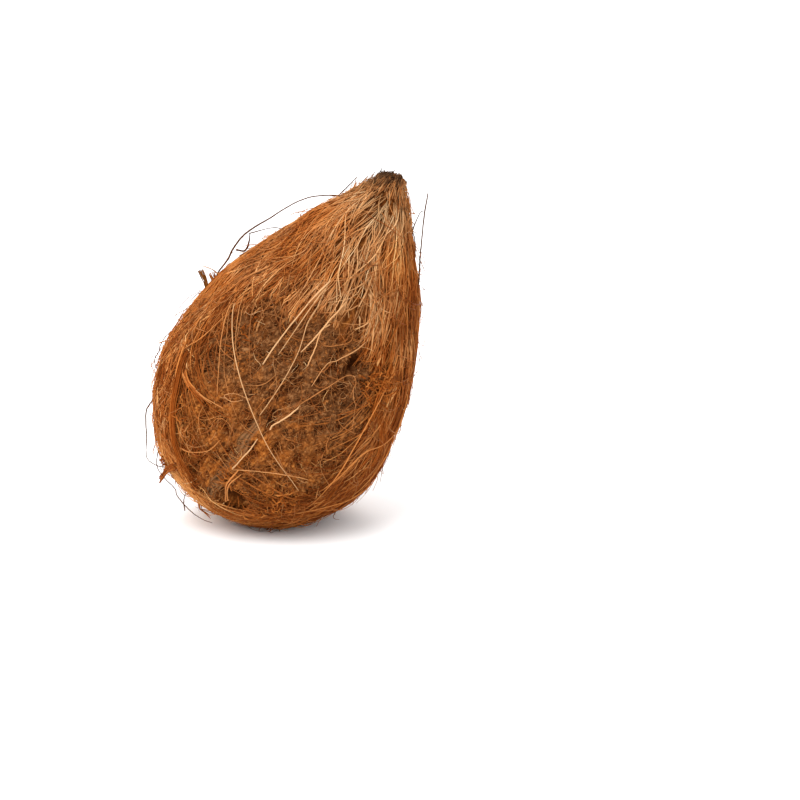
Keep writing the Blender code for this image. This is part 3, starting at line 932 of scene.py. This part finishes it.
def buildCrumbs(look):
    # one twenty-sided lump, stretched, flattened towards the husk, turned and half sunk at each place
    golden = (1 + 5**0.5) / 2
    base = np.array([(-1, golden, 0), (1, golden, 0), (-1, -golden, 0), (1, -golden, 0),
                     (0, -1, golden), (0, 1, golden), (0, -1, -golden), (0, 1, -golden),
                     (golden, 0, -1), (golden, 0, 1), (-golden, 0, -1), (-golden, 0, 1)])
    base = base / math.hypot(1, golden)
    sides = np.array([(0, 11, 5), (0, 5, 1), (0, 1, 7), (0, 7, 10), (0, 10, 11), (1, 5, 9), (5, 11, 4),
                      (11, 10, 2), (10, 7, 6), (7, 1, 8), (3, 9, 4), (3, 4, 2), (3, 2, 6), (3, 6, 8),
                      (3, 8, 9), (4, 9, 5), (2, 4, 11), (6, 2, 10), (8, 6, 7), (9, 8, 1)])
    rng = np.random.default_rng(look["seed"])
    places = scatter(look["count"], *look["heights"], rng)
    worth = bareness(places) * (1 - shellMask(places, huskBody)) - dentDepth(places) / 0.003
    places = places[worth > rng.uniform(0.05, 0.9, len(worth))][:look["most"]]
    scale = np.ones(len(places))
    rust = np.zeros(len(places))
    for turn, height, spread, many, size in look["clusters"]:
        places = np.concatenate([places, huskPoint(*strewn(turn, height, spread, many, rng))])
        scale = np.concatenate([scale, np.full(many, size)])
        rust = np.concatenate([rust, np.ones(many)])
    count, corners, faces = len(places), len(base), len(sides)
    size = rng.uniform(*look["size"], count)[:, None, None] * rng.uniform(0.5, 1.2, (count, 1, 3))
    shapes = base[None] * size * scale[:, None, None] * rng.uniform(0.65, 1.35, (count, corners, 1))
    turns = np.linalg.qr(rng.normal(size=(count, 3, 3)))[0]
    turns *= np.sign(np.linalg.det(turns))[:, None, None]
    shapes = shapes @ turns
    norms = huskNormal(places)[:, None]
    shapes = shapes - look["flatten"] * (shapes * norms).sum(-1, keepdims=True) * norms
    lift = huskLift(places, huskBody)[:, None, None] + look["gap"]
    points = toWorld(places[:, None] + norms * lift + shapes)
    points[..., 2] = np.maximum(points[..., 2], 0.0002)
    triangles = (sides[None] + (np.arange(count) * corners)[:, None, None]).reshape(-1, 3)
    across = math.ceil(math.sqrt(count * faces))
    cell = np.arange(count * faces)
    corner = np.array([[0.1, 0.1], [0.9, 0.1], [0.1, 0.9]])
    uv = (np.stack([cell % across, cell // across], -1)[:, None] + corner[None]) / across
    paleness = rng.uniform(0, 1, count)
    material, tree, shader = newMaterial("pithCrumb", 0.9, 0.02)
    rustShare = rangeNode(tree, attributeNode(tree, "rusty"), 0.0, 1.0, 0.35, 1.3)
    colour, height = placeGroup(tree, pithGrain, {"Grain Scale": 700.0, "Rust": rustShare})
    pale = mathNode(tree, "MULTIPLY", attributeNode(tree, "tint"), 0.18)
    colour = mixNode(tree, pale, colour, palette["crumb"])
    finishLook(tree, shader, colour, height, 0.6, 0.0003)
    addPiece("pithCrumbs", material, points.reshape(-1, 3), triangles, uv, smooth=False,
             tint=np.repeat(paleness, corners), rusty=np.repeat(rust, corners))


buildCrumbs(crumbs)


# locks that sweep round the edge of the bare patch, with their heights and lengths in mm
rimColumns = ("locks", "turn", "height", "heading", "length", "curl", "tint")
rimSweeps = [
    (52, (40, 84), (0, 56), -14, (40, 80), 24, 0.29),
    (30, (52, 92), (-16, 22), -36, (40, 80), 22, 0.22),
    (30, (24, 75), (-44, -22), -44, (30, 66), 24, 0.22),
    (60, (-88, -56), (-10, 56), 4, (35, 75), 14, 0.34),
    (8, (-72, -56), (0, 46), 30, (16, 30), 14, 0.40),
    (22, (-60, 20), (-58, -52), -70, (20, 50), 20, 0.62),
]
rimLook = {
    "perLock": 5, "lockWidth": 0.0022, "lockLength": 0.004, "rings": 14, "width": (0.00036, 0.00080),
    "stray": 8, "flow": 5, "bow": 36, "seed": 11, "shortest": 0.004, "grey": 0.06,
    "layer": (-0.0010, 0.0006), "wave": 0.0004, "rootSink": 0.0020, "endRise": 0.0020,
    "drawSeed": 707, "bridge": 0.75,  # how much of the sunken patch the strands bridge
}


def buildRimLocks(families, look, material):
    # each family grows from its own window; its strands bridge the sunken patch instead of following it
    rng = np.random.default_rng(look["drawSeed"])
    lines, norms, tints, greys = [], [], [], []
    for family in (dict(zip(rimColumns, each)) for each in families):
        middles = huskPoint(rng.uniform(*family["turn"], family["locks"]),
                            rng.uniform(*family["height"], family["locks"]) * mm)
        starts, lockOf, aside = lockStarts(middles, look, rng)
        ownLook = {**look, **family, "length": tuple(value * mm for value in family["length"])}
        line, norm, keep = growStrands(ownLook, starts, rng, lockOf)
        lockOf, aside = lockOf[keep], aside[keep]
        layer = rng.uniform(*look["layer"], family["locks"])[lockOf]
        layer = layer - strand["crown"] * np.minimum(aside**2, 3)
        endRise = look["endRise"] * rng.uniform(0, 1, len(line))**2
        line = liftStrands(line, norm, layer, look["wave"], look["rootSink"], endRise, rng)
        bridge = look["bridge"] * nut["bareDepth"] * bareness(ontoHusk(line))
        lines.append(line + norm * bridge[..., None])
        norms.append(norm)
        byLock = rng.normal(size=(2, family["locks"]))[:, lockOf]
        tints.append(family["tint"] + 0.13 * byLock[0])
        greys.append(look["grey"] + 0.12 * byLock[1])
    line, norm = np.concatenate(lines), np.concatenate(norms)
    count = len(line)
    tint = np.concatenate(tints) + 0.11 * rng.normal(size=count)
    # painted light: strands low down are made paler, as if lit from the floor
    low = 1 - smoothStep(-0.058, -0.038, line[..., 2])
    tint = np.clip(tint[:, None] + 0.30 * low, 0.05, 0.80)
    grey = around(np.concatenate(greys), 0.06, count, rng)
    width = drawWidths(look, count, rng)
    strandPiece("rimLocks", material, line, norm, width, 0.8, tint, grey)


buildRimLocks(rimSweeps, rimLook, fibres["coatFibre"])


# torn strips of husk, as fibres laid side by side: the route as (turn in degrees, height in mm, lift in
# mm), then the strip's width and thickness in mm, how many fibres, tint, grey, and how much of the far
# end is frayed
bundles = {
    "ribbonLeft": ([(-63, 12, 0), (-60, 5, 1.8), (-55, -6, 2.2), (-53, -12.5, 2.4), (-49, -24, 2.2),
                    (-45, -31.4, 2.0), (-36, -40, 1.6), (-27, -46, 0.4)], 4.4, 1.3, 26, 0.30, 0.05, 0.35),
    "lockLeft": ([(-71, 18, 0), (-66, 12, 1.4), (-61, 2, 1.8), (-56, -8, 1.6), (-60, -19, 0.6)],
                 2.6, 1.0, 12,
                 0.48, 0.0, 0.35),
    "fanLeft": ([(-59, 3, 0), (-50, 0, 1.8), (-43, -1.5, 2.0), (-36, -3.5, 1.0)],
                3.0, 1.2, 9, 0.46, 0.1, 0.45),
    "chipLeft": ([(-95, 33, -2), (-98, 35.5, 0.8), (-99, 37, 3.5), (-100, 38.8, 9.0)],
                 2.8, 0.7, 18, 0.04, 0.8, 0.05),
    "chipLeftLow": ([(-97, 37, -2), (-99, 39.5, -0.5), (-100, 41.7, 4.0)], 3.6, 0.8, 24, 0.14, 0.3, 0.06),
    "chipThin": ([(-97, 46, -1.5), (-99, 43.5, 1.6), (-98, 43.2, 4.8), (-98, 40.8, 10.4)],
                 0.4, 0.3, 2, 0.50, 0.7, 0.1),
    "flapLow": ([(-47, -43, 0.6), (-59, -47.5, 2.4), (-70, -50.8, 3.8), (-79, -53.0, 7.8)],
                3.4, 0.8, 18, 0.30, 0.0, 0.12),
    "chipFoot": ([(-36, -56, -1.5), (-33, -58.2, 2.4), (-26, -59, 2.6), (-12, -59.2, 3.6)],
                 1.4, 0.9, 6, 0.40, 0.1, 0.35),
    "flapRight": ([(47, 31, -1.5), (53, 19, 1.0), (57, 8, 1.6), (58, -4, 0.4)],
                  3.6, 1.1, 16, 0.34, 0.05, 0.5),
    "rustRight": ([(50, 52, -1), (44, 44, 1.2), (41, 34, 1.4), (44, 22, 0.2)],
                  4.2, 1.6, 14, 0.34, 0.0, 0.6),
    "chipBack": ([(142, 52, -2), (144, 55, 2), (145, 59, 6.0)], 2.6, 1.3, 10, 0.30, 0.2, 0.2),
    "ribbonBack": ([(140, 22, -1), (146, 8, 1.8), (150, -8, 2.0), (158, -26, 0.4)],
                   3.6, 1.1, 18, 0.36, 0.1, 0.4),
}


def buildBundles(looks, material):
    # every fibre drifts a little across its strip, and its ends lie at their own shares of the route;
    # the strip lies flat on the husk
    rng = np.random.default_rng(222)
    rings, steps = 15, 60
    lines, norms, widths, tints, greys = [], [], [], [], []
    for route, across, thick, count, tint, grey, fray in looks.values():
        middle, norm = routeLine(route, steps)
        ahead = unit(np.gradient(middle, axis=0))
        # a strip that stands off the husk is spread along the axis instead
        standing = np.abs((ahead * norm).sum(-1, keepdims=True))
        upright = np.array([0, 0, 1.0]) - ahead[:, 2:] * ahead
        side = np.cross(ahead, norm)
        facing = 1.0 if (side * upright).sum() > 0 else -1.0
        side = unit(side + facing * (0.35 + 2.5 * standing) * upright)
        begin = 0.16 * rng.uniform(0, 1, (count, 1))**1.5
        end = 1 - fray * rng.uniform(0, 1, (count, 1))**1.5
        share = begin + (end - begin) * np.linspace(0, 1, rings)[None]
        taken = lambda values: resample(np.broadcast_to(values[None], (count, steps, 3)), share)
        place = np.linspace(-0.5, 0.5, count)[:, None] + 0.08 * rng.normal(size=(count, 1))
        phase = rng.uniform(0, 6.28, (count, 1))
        place = place + 0.07 * np.sin(phase + rng.uniform(4, 12, (count, 1)) * share)
        spreading = 0.75 + 0.35 * np.abs(2 * share - 1)**1.5
        level = rng.uniform(-0.5, 0.5, (count, 1)) * thick + 0.10 * np.sin(9 * share + 6 * place)
        lines.append(taken(middle) + taken(side) * (place * spreading * across * mm)[..., None]
                     + taken(norm) * (level * mm)[..., None])
        norms.append(taken(norm))
        widths.append(rng.uniform(0.9, 1.5, count) * max(0.6, 2.6 * across / count) * mm)
        tints.append(around(tint, 0.11, count, rng, 0.02))
        greys.append(around(grey, 0.10, count, rng))
    width = taperWidths(np.concatenate(widths), rings, rng, 0.5)
    strandPiece("huskBundles", material, np.concatenate(lines), np.concatenate(norms), width, 0.7,
                            np.concatenate(tints), np.concatenate(greys))


buildBundles(bundles, fibres["tornHusk"])


# single fibres by route, then width in mm, tint and grey
straws = {
    "strawLong": ([(-13, 76, -0.8), (-14, 71.6, 0.8), (-17, 61, 1.6), (-20, 43, 1.6), (-21, 27.4, 1.2)],
                  0.90, 0.80, 0.75),
    "strawTwin": ([(-13, 73, -0.8), (-14, 68.8, 0.8), (-15, 59.8, 1.8), (-17, 34.9, 1.0)], 0.60, 0.76, 0.7),
    "forkLeft": ([(3, 72, -0.8), (1, 67, 0.8), (-2, 60, 1.8), (-4, 53.3, 1.8), (-6, 46.7, 1.6),
                  (-8, 40.8, 0.9)],
                 0.85, 0.80, 0.6),
    "forkRight": ([(-1, 58, 0.4), (-4, 53.3, 1.7), (-3, 46, 1.6), (-2, 36.4, 0.8)], 0.75, 0.76, 0.5),
    "strawThin": ([(-12, 66, -0.8), (-12, 60, 0.8), (-12, 54.2, 1.6), (-9, 40.8, 1.6), (-9, 22.7, 1.6),
                   (-11, 5.9, 1.0)], 0.48, 0.74, 0.7),
    "strawCross": ([(-57, 43, -1), (-53, 40.2, 1.2), (-35, 24.3, 3.0), (-17, 8.4, 3.2), (0, -6.1, 2.8),
                    (26, -22.7, 0.2)], 0.55, 0.76, 0.7),
    "strawSide": ([(-58, 43, -1), (-56, 38.9, 1.2), (-42, 19.9, 2.2), (-33, 3.7, 0.6)], 0.55, 0.62, 0.2),
    "strawShort": ([(-4, 2, 0), (-3, 6, 1.4), (1, 13.5, 1.6), (3, 18.7, 1.0)], 0.80, 0.82, 0.6),
    "strawShell": ([(-11, -25, -0.5), (-10, -21, 1.0), (-8, -12, 1.4), (-7, -4.5, 1.0)], 0.70, 0.76, 0.8),
    "strawLowA": ([(-6, -45, -1), (-7, -42, 1.0), (-10, -33, 1.6), (-8, -23, 0.8)], 0.95, 0.62, 0.1),
    "strawLowB": ([(-5, -44, -1), (-6, -41, 1.2), (-9, -33, 1.8), (-6, -25, 0.8)], 0.80, 0.66, 0.1),
    "arcLow": ([(-11, -26, -0.5), (-4, -21, 1.4), (7, -16, 1.8), (18, -13.5, 1.6), (27, -14.1, -0.3)],
               0.45, 0.70, 0.3),
    "arcLeft": ([(-46, -33, -0.5), (-41, -31, 1.2), (-34, -28.6, 1.8), (-25, -22.4, 1.6), (-22, -15, 0)],
                0.50, 0.64, 0.1),
    "arcRight": ([(24, 58, -0.5), (18, 52, 1.4), (10, 44.5, 1.8), (6, 40.8, 1.6), (4, 29, 0)],
                 0.48, 0.66, 0.5),
    "loopRight": ([(2, 18, -0.3), (6, 25, 1.4), (10, 31.1, 2.0), (17, 39.9, 2.2), (23, 39.6, 1.8),
                   (25, 32, -0.5)],
                  0.38, 0.54, 0.3),
    "fanA": ([(-64, 6, -1), (-57, 1.9, 1.4), (-46, -0.6, 2.6), (-33, -1.6, 1.0)], 0.52, 0.70, 0.1),
    "fanB": ([(-62, 4, -1), (-57, 1.2, 1.6), (-40, -0.6, 2.4), (-27, -0.3, 0.8)], 0.50, 0.68, 0.1),
    "fanC": ([(-62, 2, -1), (-54, 0.5, 1.8), (-46, -2.0, 2.4), (-40, -7, 1.2)], 0.50, 0.60, 0.0),
    "sideLift": ([(-68, 6, -1), (-66, 8.7, 1.2), (-57, 21.8, 2.0), (-55, 38, 0.4)], 0.50, 0.62, 0.1),
    "hookLeft": ([(-21, 8, -0.5), (-25, 5, 1.4), (-29, 5.5, 1.8), (-25, 9, 1.6), (-18, 10, 0)],
                 0.40, 0.62, 0.5),
    "sweepA": ([(78, 27, -1), (74, 23.4, 1.2), (58, 14, 2.6), (43, 7.5, 3.0), (36, -8, 2.4),
                (34, -18.1, 0.4)],
               0.60, 0.62, 0.05),
    "sweepB": ([(52, 56, -1), (49, 52.6, 1.2), (38, 22.4, 2.6), (35, -5, 2.8), (36, -33.3, 0.4)],
               0.60, 0.60, 0.05),
    "sweepC": ([(75, 38, -1), (73, 33.6, 1.2), (66, 8.4, 2.2), (60, -26, 0.4)], 0.55, 0.62, 0.05),
    "sweepD": ([(80, -2, -1), (70, -10, 1.8), (56, -20, 2.2), (44, -26, 2.0), (28, -40, 0)],
               0.55, 0.60, 0.05),
}
hairs = {
    "leftBow": ([(-99, 40, -2), (-100, 43.3, 1.3), (-100, 51, 2.8), (-99, 55.9, 5.0), (-101, 63.3, 7.2),
                 (-101, 70.5, 7.5),
                 (-100, 77.1, 7.2), (-102, 83.5, 7.6), (-102, 89.9, 7.4), (-101, 95.8, 6.4),
                 (-102, 99.9, 4.4),
                 (-106, 105.4, 0.6), (-107, 108, -2)], 0.85, 0.24, 0.3),
    "bowBranch": ([(-101, 66, 7.1), (-101, 72, 4.6), (-102, 76.2, 2.5), (-100, 81, -1.5)], 0.50, 0.24, 0.3),
    "twig": ([(-100, 57, 4.4), (-100, 60.2, 1.2), (-102, 64, 4.0), (-102, 66, 6.6)], 0.95, 0.24, 0.1),
    "leftThin": ([(-98, 36, -2), (-98, 33, 0.3), (-99, 28.3, 2), (-98, 24.5, 2.2)], 0.42, 0.26, 0.3),
    "rightSpike": ([(87, 72, -2.5), (88, 78.1, -0.6), (87, 96.1, 1.9), (90, 107.7, 4.0), (90, 113.7, 5.6),
                    (86, 123.2, 9.4)], 0.85, 0.30, 0.4),
    "rightHook": ([(86, 102, -3.4), (87, 104.4, -2.4), (91, 109.3, -0.6), (92, 114.5, 3.4), (92, 116, 5.6)],
                  0.62, 0.26, 0.4),
    "leftLong": ([(-88, -23, -2), (-88, -26.6, 0), (-87, -30, 2.5), (-86, -34.5, 3.4),
                  (-83, -39.7, 4.6), (-81, -43.8, 6.9),
                  (-79, -46.2, 7.8), (-77, -48.4, 5.6), (-74, -49.8, 2.2),
                  (-71, -50.5, -1.5)], 0.62, 0.28, 0.3),
    "leftUpper": ([(-97, 10, -1.5), (-96, 6.7, 0.9), (-95, 0.1, 2.3), (-94, -3.3, 1.6), (-93, -7.9, 1.9),
                   (-93, -12, -0.8)], 0.45, 0.26, 0.3),
    "lowLeft": ([(-82, -43, -1.5), (-79, -45.9, 2), (-76, -49, 5.0), (-72, -51.5, 5.0), (-64, -54.8, 3.8),
                 (-60, -55.9, 5.2), (-51, -57.4, 6.0), (-40, -58.6, 6.2), (-27, -59, 6.2), (-8, -59.4, 5.2)],
                0.55, 0.30, 0.3),
    "lowCross": ([(-48, -58, 8.0), (-53, -57, 4.6), (-57, -56.3, 0.6), (-60, -55, -2)], 0.48, 0.28, 0.3),
    "backBow": ([(118, 112, -2), (124, 98, 4.4), (128, 82, 6), (131, 66, 3.6), (132, 52, -2)],
                0.55, 0.26, 0.5),
    "backSpike": ([(-134, 88, -2), (-138, 101, 3.4), (-140, 113, 7)], 0.55, 0.26, 0.5),
    "backLoop": ([(150, 26, -2), (156, 14, 4), (166, 4, 5), (178, -4, -2)], 0.45, 0.28, 0.4),
    "backCurl": ([(-150, 10, -2), (-156, -6, 5), (-158, -20, 6), (-154, -32, 3), (-146, -38, -2)],
                 0.45, 0.26, 0.4),
}


def buildNamedStrands(name, routes, thicker, char, material):
    # every fibre follows its route with small growing and returning kinks
    rng = np.random.default_rng(808)
    rings = 30
    line, norm = (np.array(part) for part in zip(*(routeLine(look[0], rings) for look in routes)))
    width, tint, grey = np.array([look[1:] for look in routes]).T
    kink = np.cumsum(rng.normal(size=line.shape), axis=1)
    kink = (kink - np.linspace(0, 1, rings)[None, :, None] * kink[:, -1:]) * 0.00006
    width = taperWidths(width * thicker * mm, rings, rng, 0.6)
    strandPiece(name, material, line + kink, norm, width, 0.9, tint, grey, char)


buildNamedStrands("looseStraws", list(straws.values()), 1.25, 0.0, fibres["strawFibre"])
buildNamedStrands("outerHairs", list(hairs.values()), 1.45, 0.85, fibres["strawFibre"])


strayHairs = {
    "count": 560, "rings": 11, "width": (0.00034, 0.00052), "length": (0.008, 0.034), "stray": 40, "flow": 10,
    "bow": 80, "curl": 40, "curlTurns": 1.3, "own": 1.0, "seed": 909, "shortest": 0.002,
    "heights": (-0.058, 0.124), "arch": (0.0008, 0.0044), "leave": (0.0006, 0.0048), "arched": 0.45,
    "tint": 0.42, "grey": 0.2,
}


def buildStrayHairs(look, material):
    # nearly half of them arch up and come down again, the rest leave the husk
    rng = np.random.default_rng(look["seed"])
    starts = scatter(look["count"], *look["heights"], rng)
    line, norms, _ = growStrands(look, starts, rng)
    count = len(line)
    share = np.linspace(0, 1, look["rings"])[None]
    arch = np.sin(math.pi * share) * rng.uniform(*look["arch"], (count, 1))
    leave = share**1.6 * rng.uniform(*look["leave"], (count, 1))
    rise = np.where(rng.uniform(size=(count, 1)) < look["arched"], arch, leave) + 0.0008 * share
    line = line + norms * (bodyLift(line) + rise)[..., None]
    width = drawWidths(look, count, rng, 0.5)
    tint = around(look["tint"], 0.12, count, rng, 0.1)
    grey = around(look["grey"], 0.2, count, rng)
    strandPiece("strayHairs", material, line, norms, width, 0.9, tint, grey, 0.1)


buildStrayHairs(strayHairs, fibres["strawFibre"])


tipStubs = {
    # how many, turns, height of the foot, reach along the axis, share of the rim's radius, and how far
    # the end stands off
    "families": [(380, (-180, 180), (0.1165, 0.1280), (0.0018, 0.0062), (1, 1), 0.0004),
                 (120, (-135, -45), (0.1060, 0.1240), (0.0040, 0.0100), (1, 1), 0.0018),
                 (26, (50, 140), (0.1040, 0.1200), (0.0040, 0.0080), (1, 1), 0.0012),
                 (120, (10, 170), (0.1255, 0.1280), (0.0020, 0.0060), (0.75, 1), 0.0002),
                 (200, (-180, 180), (0.1255, 0.1265), (0.0030, 0.0075), (0.1, 0.9), 0.0002)],
    "rings": 5, "width": (0.0003, 0.0008), "uneven": 0.0010, "seed": 111, "tint": 0.42, "grey": (0.4, 0.8),
    "below": 0.0012,     # how far under the trimmed tip they stop
    "shortest": 0.0008,
    "sink": 0.0010,
    "shoulder": 0.0070,  # how much lower the cut is at the side that leans down
}


def buildTipStubs(look, material):
    # broken ends that point up the slope round the cut and inside it and stop near its world height
    rng = np.random.default_rng(look["seed"])
    families = look["families"]
    turn, foot, reach, inward = (
        np.concatenate([rng.uniform(*family[part], family[0]) for family in families])
        for part in (1, 2, 3, 4))
    count = len(turn)
    splay = np.repeat([family[5] for family in families], [family[0] for family in families])
    lean = math.radians(nut["lean"])
    aside = inward * np.sin(np.radians(turn))
    level = nut["trimLevel"] - look["below"] - nutRise + nut["tipRadius"] * aside * math.sin(lean)
    level = level - look["shoulder"] * np.maximum(aside, 0)**2
    end = np.minimum(foot + reach, level / math.cos(lean) + look["uneven"] * rng.normal(0, 1, count))
    end = np.maximum(end, foot + look["shortest"])
    share = np.linspace(0, 1, look["rings"])[None]
    turns = turn[:, None] + rng.normal(0, 7, (count, 1)) * share
    line = huskPoint(turns, foot[:, None] + (end - foot)[:, None] * share)
    norms = huskNormal(line)
    away = (splay * np.maximum(rng.normal(0.3, 1, count), -0.2))[:, None] * share**1.5
    line = line + norms * (formLift(line) + away - look["sink"])[..., None]
    line[..., :2] *= inward[:, None, None]
    width = drawWidths(look, count, rng, 0.45)
    tint = around(look["tint"], 0.14, count, rng, 0, 0.8)
    strandPiece("tipStubs", material, line, norms, width, 0.8, tint, rng.uniform(*look["grey"], count))


buildTipStubs(tipStubs, fibres["coatFibre"])


studio = {
    "floorSize": 30.0,
    "world": 1.12,
    # watts, size, place from the nut's middle
    "key": (18.5, 1.2, (-0.62, -0.62, 1.05)),
    "fill": (2.5, 0.9, (0.85, -0.60, 0.70)),
    "rim": (4.0, 0.6, (0.15, 0.75, 0.80)),
}
view = {"elevation": 15.0, "distance": 1.844, "lens": 167.5, "aside": 0.0615, "above": 0.0013}
nutMiddle = Vector((0, 0, nutRise))


def aim(thing, place, target):
    # a lamp or camera at its place, looking at the target with its top upwards
    thing.location = place
    thing.rotation_euler = (target - place).to_track_quat("-Z", "Y").to_euler()


def buildStudio(look):
    # a pale floor, an even white sky and three soft lamps aimed at the nut
    size = look["floorSize"]
    mesh = bpy.data.meshes.new("floor")
    corners = [(-size, -size, 0), (size, -size, 0), (size, size, 0), (-size, size, 0)]
    mesh.from_pydata(corners, [], [(0, 1, 2, 3)])
    floor = addObject("floor", mesh)
    material, _, shader = newMaterial("paleFloor", 0.9, 0.0)
    shader.inputs["Base Color"].default_value = (0.96, 0.96, 0.96, 1)
    mesh.materials.append(material)
    world = bpy.data.worlds.new("studioWorld")
    world.use_nodes = True
    background = world.node_tree.nodes["Background"]
    background.inputs["Color"].default_value = (1, 1, 1, 1)
    background.inputs["Strength"].default_value = look["world"]
    bpy.context.scene.world = world
    for name in ("key", "fill", "rim"):
        power, width, place = look[name]
        lamp = bpy.data.lights.new(name, "AREA")
        lamp.energy = power
        lamp.size = width
        aim(addObject(name, lamp), nutMiddle + Vector(place), nutMiddle)
    bpy.context.scene.view_settings.view_transform = "Standard"


def buildCamera(look):
    # straight in front of the nut and above it, turned aside so that the nut stands left of centre
    lens = bpy.data.cameras.new("camera")
    lens.lens = look["lens"]
    lens.sensor_width = 36
    rise = math.radians(look["elevation"])
    place = nutMiddle + look["distance"] * Vector((0, -math.cos(rise), math.sin(rise)))
    cameraUp = Vector((0, math.sin(rise), math.cos(rise)))
    target = nutMiddle + Vector((look["aside"], 0, 0)) + cameraUp * look["above"]
    camera = addObject("camera", lens)
    aim(camera, place, target)
    bpy.context.scene.camera = camera


buildStudio(studio)
buildCamera(view)
print("studio and camera ready")
